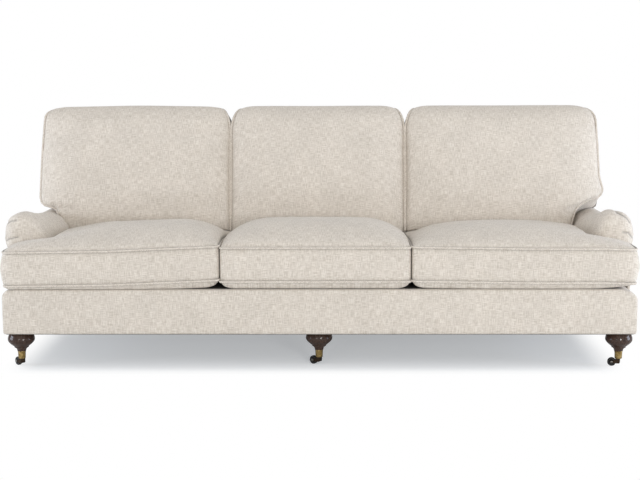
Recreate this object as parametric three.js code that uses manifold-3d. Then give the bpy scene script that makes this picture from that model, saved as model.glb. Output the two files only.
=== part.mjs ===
// English roll arm sofa: three seats, loose boxed cushions, bun front legs on brass cup casters.
// Millimetres, +Z up, +X to the sitter's left hand side seen from the front, front towards -Y.
// The origin is on the floor, under the centre of the sofa.
import * as THREE from 'three';
import { mergeVertices } from 'three/addons/utils/BufferGeometryUtils.js';
import Module from 'manifold-3d';

const wasm = await Module();
wasm.setup();

// Driving dimensions
const overallDepth = 1016;
const railHalfWidth = 1215;
const railBottom = 134;
const railTop = 311;
const armSetback = 150;
const armThickness = 153;
const backDepth = 218;
const seatWeltRise = 32;
const seatBoxing = 130;
const seatCrown = 72;
const backRakeDegrees = 11.5;
const backTop = 890;
const backInset = 30;
const backCushionTop = 971;
const armTopFront = 587;
const armSinking = 47;

// Small sizes that many pieces share
const clearance = 0.3;
const overrun = 40;
const cushionProud = 8;
const coverThickness = 12;
const railThickness = 30;
const deckPadding = 28;
const dustCoverThickness = 1.5;
const webbingThickness = 3;
const strapWidth = 50;

// Sizes that follow from them
const seatDepth = overallDepth - cushionProud - backDepth;
const armInnerFace = railHalfWidth - armThickness;
const armTopRear = armTopFront - armSinking;
const backHalfWidth = railHalfWidth - backInset;
const seatWeltLow = railTop + seatWeltRise;
const seatWeltHigh = seatWeltLow + seatBoxing;
const railHeight = railTop - railBottom - deckPadding;

// Finishes: one fresh material for each piece
function finish(color, roughness, metalness = 0) {
  return () => new THREE.MeshStandardMaterial({ color, roughness, metalness });
}
const linen = finish(0xd9cfc3, 0.95);
const cambric = finish(0x2b2a2a, 0.95);
const jute = finish(0xa98f66, 0.9);
const frameWood = finish(0xc8a877, 0.75);
const lacquer = finish(0x3d3230, 0.3);
const brass = finish(0xa08b5c, 0.4, 1);
const bronze = finish(0x3a302b, 0.5, 1);
const tread = finish(0x1d1c1b, 0.6);
const steel = finish(0x9c9a96, 0.35, 1);

const sofa = new THREE.Group();
function addPiece(name, geometry, material, parent = sofa) {
  const mesh = new THREE.Mesh(geometry, material());
  mesh.name = name;
  parent.add(mesh);
}

// Depth is counted from the front rail's face towards the back
const frontFace = -overallDepth / 2 + cushionProud;
function fromFront(depth) {
  return frontFace + depth;
}

// Solids to cut and join
function toSolid(geometry) {
  const bare = new THREE.BufferGeometry();
  bare.setAttribute('position', geometry.attributes.position);
  if (geometry.index) bare.setIndex(geometry.index);
  const merged = mergeVertices(bare);
  const mesh = new wasm.Mesh({
    numProp: 3,
    vertProperties: new Float32Array(merged.attributes.position.array),
    triVerts: new Uint32Array(merged.index.array),
  });
  return new wasm.Manifold(mesh);
}
function toGeometry(solid) {
  const mesh = solid.getMesh();
  const geometry = new THREE.BufferGeometry();
  geometry.setAttribute('position', new THREE.BufferAttribute(mesh.vertProperties, 3));
  geometry.setIndex(new THREE.BufferAttribute(mesh.triVerts, 1));
  return geometry;
}
function cut(geometry, ...tools) {
  let solid = toSolid(geometry);
  for (const tool of tools) solid = solid.subtract(toSolid(tool));
  return toGeometry(solid);
}
function join(...geometries) {
  let solid = toSolid(geometries[0]);
  for (const other of geometries.slice(1)) solid = solid.add(toSolid(other));
  return toGeometry(solid);
}

// Plain forms: a block between two corners, and outlines drawn out along one axis
function block(x0, x1, y0, y1, z0, z1) {
  const box = new THREE.BoxGeometry(x1 - x0, y1 - y0, z1 - z0);
  return box.translate((x0 + x1) / 2, (y0 + y1) / 2, (z0 + z1) / 2);
}
function outline(points) {
  return new THREE.Shape(points.map(([a, b]) => new THREE.Vector2(a, b)));
}
function alongX(shape, x0, x1) {
  const body = new THREE.ExtrudeGeometry(shape, { depth: x1 - x0, bevelEnabled: false, curveSegments: 6 });
  const axes = new THREE.Matrix4().makeBasis(
    new THREE.Vector3(0, 1, 0),
    new THREE.Vector3(0, 0, 1),
    new THREE.Vector3(1, 0, 0),
  );
  return body.applyMatrix4(axes).translate(x0, 0, 0);
}
function alongY(shape, y0, y1) {
  const body = new THREE.ExtrudeGeometry(shape, { depth: y1 - y0, bevelEnabled: false, curveSegments: 6 });
  const axes = new THREE.Matrix4().makeBasis(
    new THREE.Vector3(1, 0, 0),
    new THREE.Vector3(0, 0, 1),
    new THREE.Vector3(0, -1, 0),
  );
  return body.applyMatrix4(axes).translate(0, y1, 0);
}
function mirrored(geometry) {
  const copy = toGeometry(toSolid(geometry)).scale(-1, 1, 1);
  const corners = copy.index.array;
  for (let i = 0; i < corners.length; i += 3) {
    [corners[i], corners[i + 1]] = [corners[i + 1], corners[i]];
  }
  return copy;
}
function addPair(name, geometry, material) {
  addPiece(`${name}_right`, geometry, material);
  addPiece(`${name}_left`, mirrored(geometry), material);
}

// Heights of the layers under the seat
const railUnderside = railBottom + clearance * 2 + dustCoverThickness;
const railCrest = railUnderside + railHeight;
const webbingUnderside = railCrest + clearance;
const padUnderside = webbingUnderside + webbingThickness + clearance;

// The back: its raked inside face, and its outside face, which leans less
const backRake = THREE.MathUtils.degToRad(backRakeDegrees);
const outsideLean = 60;
const outsidePanelThickness = 8;
const topRollHeight = 24;
const topRailCrest = backTop - topRollHeight;
function insideBack(z) {
  return fromFront(seatDepth) + (z - padUnderside) * Math.tan(backRake);
}
function outsideBack(z) {
  const rear = overallDepth / 2;
  return rear - (outsideLean * (topRailCrest - z)) / (topRailCrest - railBottom);
}
function insidePanel(z) {
  return outsideBack(z) - outsidePanelThickness - clearance;
}

// The seat deck falls towards the back
const borderGap = 2;
const borderDepth = armSetback - borderGap;
const deckFall = 18;
const deckFront = fromFront(borderDepth) + clearance;
const deckRear = fromFront(seatDepth) - clearance;
function deckHeight(y) {
  const share = Math.max(0, (y - deckFront) / (deckRear - deckFront));
  return railTop - deckFall * share;
}

// Hardwood seat frame: perimeter rails, stretchers, cross rails and leg blocks
const sidePanelInner = railHalfWidth - coverThickness;
const sideRailOuter = sidePanelInner - clearance;
const sideRailInner = sideRailOuter - railThickness;
const frontRailFront = fromFront(coverThickness) + clearance;
const frontRailRear = frontRailFront + railThickness;
const backRailDepth = 45;
const backRailRear = insidePanel(railBottom) - clearance;
const backRailFront = backRailRear - backRailDepth;
const crossRailShare = 0.3;
const crossRailPlace = railHalfWidth * crossRailShare;
addPiece(
  'rail_front',
  block(-sideRailOuter, sideRailOuter, frontRailFront, frontRailRear, railUnderside, railCrest),
  frameWood,
);
addPiece(
  'rail_back',
  block(-sideRailOuter, sideRailOuter, backRailFront, backRailRear, railUnderside, railCrest),
  frameWood,
);
function runningBack(x0, x1) {
  return block(
    x0,
    x1,
    frontRailRear + clearance,
    backRailFront - clearance,
    railUnderside,
    railCrest,
  );
}
addPair('rail_side', runningBack(sideRailInner, sideRailOuter), frameWood);
addPair('rail_stretcher', runningBack(armInnerFace - railThickness, armInnerFace), frameWood);
addPair(
  'rail_cross',
  runningBack(crossRailPlace - railThickness / 2, crossRailPlace + railThickness / 2),
  frameWood,
);

// Places of the legs, and the hanger bolt that holds each leg in its block
const legFrontInset = 58;
const legFrontSide = railHalfWidth - legFrontInset;
const legFrontDepth = 60;
const legMiddleSetback = 25;
const legRearInset = 85;
const legRearSide = railHalfWidth - legRearInset;
const legRearAhead = 47;
const legRearPlace = backRailFront - legRearAhead;
const legTopGap = clearance;
const boltDiameter = 10;
const boltReach = 50;
const blockHeight = 64;
const blockWidth = 82;
const blockDepth = 82;
const legPlaces = [
  { name: 'left', x: -legFrontSide, setback: 0, turn: 44 },
  { name: 'middle', x: 0, setback: legMiddleSetback, turn: 32 },
  { name: 'right', x: legFrontSide, setback: 0, turn: 14 },
];
const boltSides = 12;
function boltHole(x, y) {
  const radius = boltDiameter / 2 + clearance;
  const hole = new THREE.CylinderGeometry(radius, radius, boltReach + overrun, boltSides);
  return hole.rotateX(Math.PI / 2).translate(x, y, railUnderside + clearance + (boltReach - overrun) / 2);
}
for (const place of legPlaces) {
  const side = Math.sign(place.x);
  const outer = side === 0 ? blockWidth / 2 : sideRailInner - clearance;
  const x0 = side < 0 ? -outer : outer - blockWidth;
  const front = frontRailRear + clearance;
  const rear = backRailFront - clearance;
  const top = railUnderside + blockHeight;
  const frontBlock = block(x0, x0 + blockWidth, front, front + blockDepth, railUnderside, top);
  const rearBlock = block(x0, x0 + blockWidth, rear - blockDepth, rear, railUnderside, top);
  const legFrontY = fromFront(legFrontDepth + place.setback);
  addPiece(`leg_block_front_${place.name}`, cut(frontBlock, boltHole(place.x, legFrontY)), frameWood);
  const rearBolt = boltHole(side * legRearSide, legRearPlace);
  addPiece(`leg_block_rear_${place.name}`, cut(rearBlock, rearBolt), frameWood);
}

// Turned bun leg of the front, with its hanger bolt
const bunRadius = 52;
const bunTopRadius = 42;
const bunWidest = 106;
const shoulderRadius = 27;
const shoulderHeight = 76;
const neckRadius = 17;
const socketTop = 60;
const socketBottom = 31;
const socketTopRadius = 15;
const socketBottomRadius = 13.8;
const socketWall = 1.6;
const socketFloor = 10;
const legSides = 24;
const legTop = railUnderside - legTopGap;
const peg = {
  top: socketTopRadius - socketWall - clearance,
  foot: socketBottomRadius - socketWall - clearance,
  end: socketBottom + socketFloor + clearance,
};
function ringProfile(points) {
  return points.map(([radius, z]) => new THREE.Vector2(radius, z));
}
function turned(points, sides) {
  return new THREE.LatheGeometry(ringProfile(points), sides).rotateX(Math.PI / 2);
}
const bunShoulderShares = [
  [0.985, 0.82],
  [0.9, 0.6],
  [0.74, 0.38],
  [0.6, 0.2],
];
function bunLeg() {
  const bunHeight = bunWidest - shoulderHeight;
  const bunBelly = bunShoulderShares.map(([radiusShare, heightShare]) => [
    bunRadius * radiusShare,
    shoulderHeight + bunHeight * heightShare,
  ]);
  const neckFlare = shoulderHeight - socketTop;
  const boltRadius = boltDiameter / 2;
  const body = turned(
    [
      [0, peg.end],
      [peg.foot, peg.end],
      [peg.top, socketTop - clearance],
      [peg.top, socketTop + clearance],
      [neckRadius - clearance, socketTop + clearance],
      [neckRadius, socketTop + neckFlare / 6],
      [neckRadius + (shoulderRadius - neckRadius) / 4, socketTop + neckFlare / 2],
      [shoulderRadius, shoulderHeight],
      ...bunBelly.reverse(),
      [bunRadius, bunWidest],
      [(bunRadius * 3 + bunTopRadius) / 4, (bunWidest + legTop) / 2],
      [bunTopRadius, legTop],
      [0, legTop],
    ],
    legSides,
  );
  const bolt = new THREE.CylinderGeometry(boltRadius, boltRadius, boltReach + overrun, boltSides);
  bolt.rotateX(Math.PI / 2).translate(0, 0, legTop + (boltReach - overrun) / 2);
  return join(body, bolt);
}

// Brass cup caster: a socket on the leg's peg, a swivelling horn, its axle and its wheel
const wheelRadius = 16.5;
const wheelWidth = 14;
const wheelSides = 24;
const wheelCentre = wheelRadius * Math.cos(Math.PI / wheelSides);
const hubRadius = 8;
const hubRecess = 2;
const treadRound = 3;
const trail = 25;
const pinRadius = 4;
const pinReach = 8;
const hornHalfWidth = 10;
const hornSwivelRadius = 7;
const cheekGap = 0.4;
const cheekRadius = 5;
const wheelPlay = 1.2;
const axleRadius = 2;
const axleSides = 12;
const axleHead = 3.2;
const axleHeadThickness = 1;
const hornTop = socketBottom - clearance;
const hornFoot = wheelCentre - cheekRadius;
function socketCup() {
  const boreRadius = pinRadius + clearance;
  const bead = socketTopRadius + socketWall / 2;
  return turned(
    [
      [boreRadius, socketBottom],
      [socketBottomRadius, socketBottom],
      [socketTopRadius, socketTop - socketWall * 2],
      [bead, socketTop - socketWall],
      [bead, socketTop],
      [socketTopRadius - socketWall, socketTop],
      [socketBottomRadius - socketWall, socketBottom + socketFloor],
      [boreRadius, socketBottom + socketFloor],
      [boreRadius, socketBottom],
    ],
    legSides,
  );
}
function disc(radius, width, sides) {
  return new THREE.CylinderGeometry(radius, radius, width, sides);
}
function hornBody() {
  const cheek = new THREE.Shape();
  cheek.moveTo(hornSwivelRadius, hornTop);
  cheek.lineTo(-hornSwivelRadius, hornTop);
  cheek.lineTo(-hornSwivelRadius, wheelCentre + cheekRadius * 2);
  cheek.lineTo(-trail, wheelCentre + cheekRadius);
  cheek.absarc(-trail, wheelCentre, cheekRadius, Math.PI / 2, (3 * Math.PI) / 2, false);
  cheek.lineTo(hornSwivelRadius - cheekRadius / 2, hornFoot);
  cheek.lineTo(hornSwivelRadius, wheelCentre - cheekRadius / 2);
  const fork = alongY(cheek, -hornHalfWidth, hornHalfWidth);
  const wheelRoom = disc(wheelRadius + wheelPlay, wheelWidth + cheekGap * 2, wheelSides);
  wheelRoom.translate(-trail, 0, wheelCentre);
  const axleHole = disc(axleRadius + clearance, hornHalfWidth * 2 + overrun, axleSides);
  axleHole.translate(-trail, 0, wheelCentre);
  const pinHeight = pinReach + clearance;
  const pin = disc(pinRadius, pinHeight + cheekRadius, axleSides);
  pin.rotateX(Math.PI / 2).translate(0, 0, hornTop + (pinHeight - cheekRadius) / 2);
  return join(cut(fork, wheelRoom, axleHole), pin);
}
function wheelBody() {
  const half = wheelWidth / 2;
  const bore = axleRadius + clearance;
  const profile = ringProfile([
    [bore, -half + hubRecess],
    [hubRadius, -half + hubRecess],
    [hubRadius + hubRecess / 2, -half],
    [wheelRadius - treadRound, -half],
    [wheelRadius, -half + treadRound],
    [wheelRadius, half - treadRound],
    [wheelRadius - treadRound, half],
    [hubRadius + hubRecess / 2, half],
    [hubRadius, half - hubRecess],
    [bore, half - hubRecess],
    [bore, -half + hubRecess],
  ]);
  const wheel = new THREE.LatheGeometry(profile, wheelSides);
  return wheel.rotateY(Math.PI / wheelSides).translate(-trail, 0, wheelCentre);
}
function axleBody() {
  const half = hornHalfWidth + clearance;
  const profile = ringProfile([
    [0, -half - axleHeadThickness],
    [axleHead, -half - axleHeadThickness],
    [axleHead, -half],
    [axleRadius, -half],
    [axleRadius, half],
    [axleHead, half],
    [axleHead, half + axleHeadThickness],
    [0, half + axleHeadThickness],
  ]);
  return new THREE.LatheGeometry(profile, axleSides).translate(-trail, 0, wheelCentre);
}
for (const place of legPlaces) {
  const stand = new THREE.Group();
  stand.position.set(place.x, fromFront(legFrontDepth + place.setback), 0);
  addPiece(`leg_front_${place.name}`, bunLeg(), lacquer, stand);
  addPiece(`caster_socket_${place.name}`, socketCup(), brass, stand);
  const swivel = new THREE.Group();
  swivel.rotation.z = -THREE.MathUtils.degToRad(place.turn);
  addPiece(`caster_horn_${place.name}`, hornBody(), bronze, swivel);
  addPiece(`caster_axle_${place.name}`, axleBody(), steel, swivel);
  addPiece(`caster_wheel_${place.name}`, wheelBody(), tread, swivel);
  stand.add(swivel);
  sofa.add(stand);
}

// Plain tapered rear legs, raked back, each with its hanger bolt
const rearLegTop = 62;
const rearLegFoot = 36;
const rearLegRake = 30;
function taperedLeg() {
  const post = new THREE.BoxGeometry(1, 1, 1);
  const corners = post.attributes.position;
  for (let i = 0; i < corners.count; i += 1) {
    const atTop = corners.getZ(i) > 0;
    const width = atTop ? rearLegTop : rearLegFoot;
    const shift = atTop ? 0 : rearLegRake;
    corners.setXYZ(i, corners.getX(i) * width, corners.getY(i) * width + shift, atTop ? legTop : 0);
  }
  const radius = boltDiameter / 2;
  const bolt = new THREE.CylinderGeometry(radius, radius, boltReach + overrun, boltSides);
  bolt.rotateX(Math.PI / 2).translate(0, 0, legTop + (boltReach - overrun) / 2);
  return join(post, bolt);
}
for (const place of legPlaces) {
  const stand = new THREE.Group();
  stand.position.set(Math.sign(place.x) * legRearSide, legRearPlace, 0);
  addPiece(`leg_rear_${place.name}`, taperedLeg(), lacquer, stand);
  sofa.add(stand);
}

// Cambric dust cover under the rails, cut out round the legs
const legHoleMargin = 1.5;
function dustCover() {
  const sheet = block(
    -sideRailOuter,
    sideRailOuter,
    frontRailFront,
    backRailRear,
    railBottom + clearance,
    railBottom + clearance + dustCoverThickness,
  );
  const holes = [];
  for (const place of legPlaces) {
    const round = disc(bunTopRadius + legHoleMargin, dustCoverThickness + overrun, legSides);
    round.rotateX(Math.PI / 2);
    round.translate(place.x, fromFront(legFrontDepth + place.setback), railBottom);
    const x = Math.sign(place.x) * legRearSide;
    const half = rearLegTop / 2 + legHoleMargin;
    holes.push(round, block(x - half, x + half, legRearPlace - half, legRearPlace + half, 0, railTop));
  }
  return cut(sheet, ...holes);
}
addPiece('dust_cover', dustCover(), cambric);

// Interlaced jute webbing, drawn as one lattice
function lattice(width, height, across, up) {
  const sheet = block(-width / 2, width / 2, 0, height, 0, webbingThickness);
  const pitchX = (width - strapWidth) / across;
  const pitchY = (height - strapWidth) / up;
  const holes = [];
  for (let i = 0; i < across; i += 1) {
    for (let j = 0; j < up; j += 1) {
      const x0 = -width / 2 + strapWidth + i * pitchX;
      const y0 = strapWidth + j * pitchY;
      const x1 = x0 + pitchX - strapWidth;
      const y1 = y0 + pitchY - strapWidth;
      holes.push(block(x0, x1, y0, y1, -overrun, overrun));
    }
  }
  return cut(sheet, ...holes);
}
const seatStraps = 12;
const backStraps = 12;
const lengthStraps = 3;
const webbingHold = 20;
const betweenArms = (armInnerFace - clearance) * 2;
const seatWebbingRear = backRailFront + webbingHold;
const seatWebbing = lattice(
  betweenArms,
  seatWebbingRear - frontRailFront,
  seatStraps,
  lengthStraps,
);
addPiece('seat_webbing', seatWebbing.translate(0, frontRailFront, webbingUnderside), jute);

// Hardwood back frame: four uprights on the back rail and a top rail
const uprightThickness = 24;
const topRailHeight = 27;
const topRailUnderside = topRailCrest - topRailHeight;
const uprightTopRear = insidePanel(topRailUnderside) - clearance;
const uprightTopFront = uprightTopRear - uprightThickness;
const uprightFootFront = seatWebbingRear + clearance;
const uprightOuter = sideRailInner - clearance;
const upright = outline([
  [uprightFootFront, railCrest + clearance],
  [backRailRear, railCrest + clearance],
  [uprightTopRear, topRailUnderside - clearance],
  [uprightTopFront, topRailUnderside - clearance],
]);
addPair('back_upright', alongX(upright, uprightOuter - railThickness, uprightOuter), frameWood);
addPair(
  'back_upright_inner',
  alongX(upright, crossRailPlace - railThickness / 2, crossRailPlace + railThickness / 2),
  frameWood,
);
addPiece(
  'back_top_rail',
  block(-uprightOuter, uprightOuter, uprightTopFront, uprightTopRear, topRailUnderside, topRailCrest),
  frameWood,
);
const uprightRise = topRailUnderside - railCrest - clearance * 2;
const uprightLean = Math.atan2(uprightTopFront - uprightFootFront, uprightRise);
const backWebbingFoot = padUnderside + strapWidth;
const backWebbingLength = (topRailUnderside - backWebbingFoot) / Math.cos(uprightLean);
const backWebbing = lattice(betweenArms, backWebbingLength, backStraps, lengthStraps);
const backWebbingY = uprightFootFront - clearance
  + (backWebbingFoot - railCrest - clearance) * Math.tan(uprightLean);
backWebbing.rotateX(Math.PI / 2 - uprightLean).translate(0, backWebbingY, backWebbingFoot);
addPiece('back_webbing', backWebbing, jute);

// Hardwood arm frame: a front post on the side rail and a rail back to the upright
const armPostDepth = 70;
const armWall = 49;
const armFrontWall = 44;
const armRailHeight = 25;
const armRailDrop = 35;
const armRailCrest = armTopRear - armRailDrop;
const armRailInner = armInnerFace + armWall + clearance;
const armRailOuter = sideRailInner - clearance;
const armRailFront = fromFront(armSetback + armFrontWall) + clearance;
const armRailUnderside = armRailCrest - armRailHeight;
const uprightAtArm = uprightFootFront + (armRailUnderside - railCrest) * Math.tan(uprightLean);
addPair(
  'arm_post',
  block(
    armRailOuter - railThickness,
    armRailOuter,
    armRailFront,
    armRailFront + armPostDepth,
    railUnderside,
    armRailUnderside - clearance,
  ),
  frameWood,
);
addPair(
  'arm_rail',
  block(
    armRailInner,
    armRailOuter,
    armRailFront,
    uprightAtArm - clearance,
    armRailUnderside,
    armRailCrest,
  ),
  frameWood,
);

// Upholstered seat deck, falling to the back
const deck = outline([
  [deckFront, padUnderside],
  [deckRear, padUnderside],
  [deckRear, deckHeight(deckRear)],
  [deckFront, deckHeight(deckFront)],
]);
addPiece('deck_pad', alongX(deck, -armInnerFace + clearance, armInnerFace - clearance), linen);

// Padded front border: front face, top lip and the returns beside the seat, open below and behind
const borderCorner = 26;
const borderEdge = 7;
function borderOuter() {
  const face = new THREE.Shape();
  const side = railHalfWidth - borderEdge;
  const crest = railTop - borderEdge;
  const corner = borderCorner - borderEdge;
  face.moveTo(-side, railBottom - overrun);
  face.lineTo(side, railBottom - overrun);
  face.lineTo(side, crest - corner);
  face.absarc(side - corner, crest - corner, corner, 0, Math.PI / 2, false);
  face.lineTo(-side + corner, crest);
  face.absarc(-side + corner, crest - corner, corner, Math.PI / 2, Math.PI, false);
  const body = new THREE.ExtrudeGeometry(face, {
    depth: borderDepth,
    curveSegments: 6,
    bevelThickness: borderEdge,
    bevelSize: borderEdge,
    bevelSegments: 3,
  });
  const axes = new THREE.Matrix4().makeBasis(
    new THREE.Vector3(1, 0, 0),
    new THREE.Vector3(0, 0, 1),
    new THREE.Vector3(0, -1, 0),
  );
  return body.applyMatrix4(axes).translate(0, fromFront(borderDepth + borderEdge), 0);
}
const frontBorder = cut(
  borderOuter(),
  block(
    -railHalfWidth - overrun,
    railHalfWidth + overrun,
    frontFace - overrun,
    fromFront(borderDepth + overrun),
    0,
    railBottom,
  ),
  block(
    -railHalfWidth - overrun,
    railHalfWidth + overrun,
    fromFront(borderDepth),
    fromFront(borderDepth + overrun),
    0,
    railTop + overrun,
  ),
  block(
    -sidePanelInner,
    sidePanelInner,
    fromFront(coverThickness),
    fromFront(borderDepth + overrun),
    0,
    padUnderside,
  ),
);
addPiece('front_border', frontBorder, linen);

// Roll arm: a padded scroll, highest at its domed front and sinking towards the back
const armOverhang = 20;
const armRollInset = 52;
const armRollDrop = 95;
const armPanelDrop = 162;
const armSpringDrop = 155;
const armSpringSinking = 30;
const armTuckRise = 8;
const armSpineDrop = 125;
const armOuterFace = railHalfWidth + armOverhang;
const armRollMiddle = railHalfWidth - armRollInset;
const armRollWidest = armTopFront - armRollDrop;
const armPanelTop = armTopFront - armPanelDrop;
const armRollSpring = armTopFront - armSpringDrop;
const armUnderside = railCrest + clearance;
const domeDepth = 52;
const domeInset = 44;
const armTuck = railHalfWidth;
const armSag = [
  { share: 0.06, sunk: 0 },
  { share: 0.2, sunk: 0.4 },
  { share: 0.38, sunk: 0.74 },
  { share: 0.6, sunk: 0.92 },
  { share: 0.8, sunk: 1 },
];
const innerCurveShares = [0.2, 0.4, 0.6, 0.8, 1];
const outerCurveShares = [0.2, 0.4, 0.6, 0.8, 1];
const innerRoundness = 1.75;
const outerRoundness = 2.3;
function superArc(share, roundness) {
  const angle = (share * Math.PI) / 2;
  return [Math.cos(angle) ** (2 / roundness), Math.sin(angle) ** (2 / roundness)];
}
function armSection(sunk) {
  const top = armTopFront - armSinking * sunk;
  const spring = armRollSpring - armSpringSinking * sunk;
  const ring = [
    [armInnerFace, armUnderside],
    [armInnerFace, (armUnderside + spring) / 2],
    [armInnerFace, spring],
  ];
  for (const share of innerCurveShares) {
    const [side, rise] = superArc(share, innerRoundness);
    ring.push([
      armRollMiddle - (armRollMiddle - armInnerFace) * side,
      spring + (top - spring) * rise,
    ]);
  }
  for (const share of outerCurveShares) {
    const [rise, side] = superArc(share, outerRoundness);
    ring.push([
      armRollMiddle + (armOuterFace - armRollMiddle) * side,
      armRollWidest + (top - armRollWidest) * rise,
    ]);
  }
  ring.push([armOuterFace, (armRollWidest + armPanelTop) / 2 + armTuckRise]);
  ring.push([(armOuterFace + armTuck) / 2, (armRollWidest + armPanelTop * 3) / 4]);
  ring.push([armTuck, armPanelTop + clearance]);
  ring.push([sidePanelInner, armPanelTop + clearance]);
  ring.push([sidePanelInner, (armPanelTop + armUnderside) / 2]);
  ring.push([sidePanelInner, armUnderside]);
  return ring;
}
const armSpine = { x: (armInnerFace + sidePanelInner) / 2, z: armTopFront - armSpineDrop };
function insetSection(ring, inset) {
  return ring.map(([x, z]) => {
    const centreZ = Math.min(z, armSpine.z);
    const reach = Math.hypot(x - armSpine.x, z - centreZ);
    const share = Math.max(0, 1 - inset / reach);
    return [armSpine.x + (x - armSpine.x) * share, centreZ + (z - centreZ) * share];
  });
}
// A closed body through a row of rings, each with its depth; its two ends are fans about a middle
function loft(rings, depthAt, middle) {
  const count = rings[0].points.length;
  const positions = [];
  for (const ring of rings) {
    for (const [x, z] of ring.points) positions.push(x, depthAt(ring, z), z);
  }
  const first = rings[0];
  const last = rings[rings.length - 1];
  positions.push(middle.x, depthAt(first, middle.z), middle.z);
  positions.push(middle.x, depthAt(last, middle.z), middle.z);
  const faces = [];
  const startMiddle = rings.length * count;
  const endMiddle = startMiddle + 1;
  for (let i = 0; i < count; i += 1) {
    const next = (i + 1) % count;
    for (let row = 0; row < rings.length - 1; row += 1) {
      const a = row * count;
      const b = a + count;
      faces.push(a + i, a + next, b + i, a + next, b + next, b + i);
    }
    const lastRow = (rings.length - 1) * count;
    faces.push(startMiddle, next, i, endMiddle, lastRow + i, lastRow + next);
  }
  const geometry = new THREE.BufferGeometry();
  geometry.setAttribute('position', new THREE.Float32BufferAttribute(positions, 3));
  geometry.setIndex(faces);
  return geometry;
}
const domeShares = [0, 0.05, 0.16, 0.34, 0.62, 1];
function armBody() {
  const rings = domeShares.map((share) => ({
    depth: fromFront(armSetback + domeDepth * share),
    reachesBack: 0,
    points: insetSection(armSection(0), domeInset * (1 - Math.sqrt(1 - (1 - share) ** 2))),
  }));
  const domeRear = fromFront(armSetback + domeDepth);
  const armLength = insidePanel(armTopRear) - domeRear;
  for (const station of armSag) {
    rings.push({
      depth: domeRear + armLength * station.share,
      reachesBack: 0,
      points: armSection(station.sunk),
    });
  }
  rings.push({ depth: 0, reachesBack: 1, points: armSection(1) });
  const depthAt = (ring, z) => (ring.reachesBack ? insidePanel(z) : ring.depth);
  return loft(rings, depthAt, armSpine);
}
const armHollowRear = overallDepth / 2 + overrun;
const armPad = cut(
  armBody(),
  block(
    armRailInner - clearance,
    sidePanelInner + overrun,
    armRailFront - clearance,
    armHollowRear,
    0,
    armPanelTop,
  ),
  block(
    armRailInner - clearance,
    armRailOuter + clearance,
    armRailFront - clearance,
    armHollowRear,
    0,
    armRailCrest + clearance,
  ),
  block(
    uprightOuter - railThickness - clearance,
    uprightOuter + clearance,
    uprightAtArm - clearance,
    armHollowRear,
    0,
    backTop,
  ),
);
addPair('arm_pad', armPad, linen);

// Outside arm panel, from the roll down to the bottom of the rail
const armPanel = outline([
  [deckFront, railBottom],
  [insidePanel(railBottom), railBottom],
  [insidePanel(armPanelTop), armPanelTop],
  [deckFront, armPanelTop],
]);
addPair('arm_outside_panel', alongX(armPanel, sidePanelInner + clearance, railHalfWidth), linen);

// Padded inside back: it wraps over the top rail, and its upper part spans the arms
const backPadWall = 45;
const backRollFront = 32;
const backRollRise = 10;
function backPadBody() {
  const rearEdge = outsideBack(topRailCrest);
  const profile = new THREE.Shape();
  profile.moveTo(insideBack(padUnderside), padUnderside);
  profile.lineTo(insidePanel(padUnderside), padUnderside);
  profile.lineTo(insidePanel(topRailCrest), topRailCrest);
  profile.lineTo(rearEdge, topRailCrest);
  profile.quadraticCurveTo(outsideBack(backTop), backTop, rearEdge - backRollFront, backTop);
  profile.lineTo(insideBack(backTop) + backRollFront / 2, backTop - backRollRise / 4);
  profile.quadraticCurveTo(
    insideBack(backTop),
    backTop - backRollRise / 2,
    insideBack(backTop - backRollFront),
    backTop - backRollFront,
  );
  const body = alongX(profile, -backHalfWidth, backHalfWidth);
  const wall = backPadWall / Math.cos(backRake);
  const hollowCrest = topRailCrest + clearance;
  const hollow = outline([
    [insideBack(0) + wall, 0],
    [armHollowRear, 0],
    [armHollowRear, hollowCrest],
    [insideBack(hollowCrest) + wall, hollowCrest],
  ]);
  const hollowSide = backHalfWidth - coverThickness;
  const wingUnderside = armTopRear + clearance;
  const besideArms = [-1, 1].map((side) => {
    const inner = side * (armInnerFace - clearance);
    const outer = side * (backHalfWidth + overrun);
    return block(
      Math.min(inner, outer),
      Math.max(inner, outer),
      frontFace,
      armHollowRear,
      0,
      wingUnderside,
    );
  });
  return cut(body, alongX(hollow, -hollowSide, hollowSide), ...besideArms);
}
addPiece('back_pad', backPadBody(), linen);

// Outside back panel, raked, covering the frame from the rail to the top
const backPanelShoulderDrop = 40;
const backPanelTopCorner = 24;
function outsideBackPanel() {
  const side = backHalfWidth - clearance;
  const half = [
    [railHalfWidth, railBottom],
    [railHalfWidth, armPanelTop],
    [(railHalfWidth + side) / 2, armTopRear - backPanelShoulderDrop],
    [side, armTopRear],
    [side, topRailCrest - clearance - backPanelTopCorner],
    [side - backPanelTopCorner, topRailCrest - clearance],
  ];
  const other = half.map(([x, z]) => [-x, z]).reverse();
  const face = alongY(outline([...half, ...other]), 0, outsidePanelThickness);
  const places = face.attributes.position;
  for (let i = 0; i < places.count; i += 1) {
    const inside = outsideBack(places.getZ(i)) - outsidePanelThickness;
    places.setY(i, inside + places.getY(i));
  }
  return face;
}
addPiece('back_outside_panel', outsideBackPanel(), linen);

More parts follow.
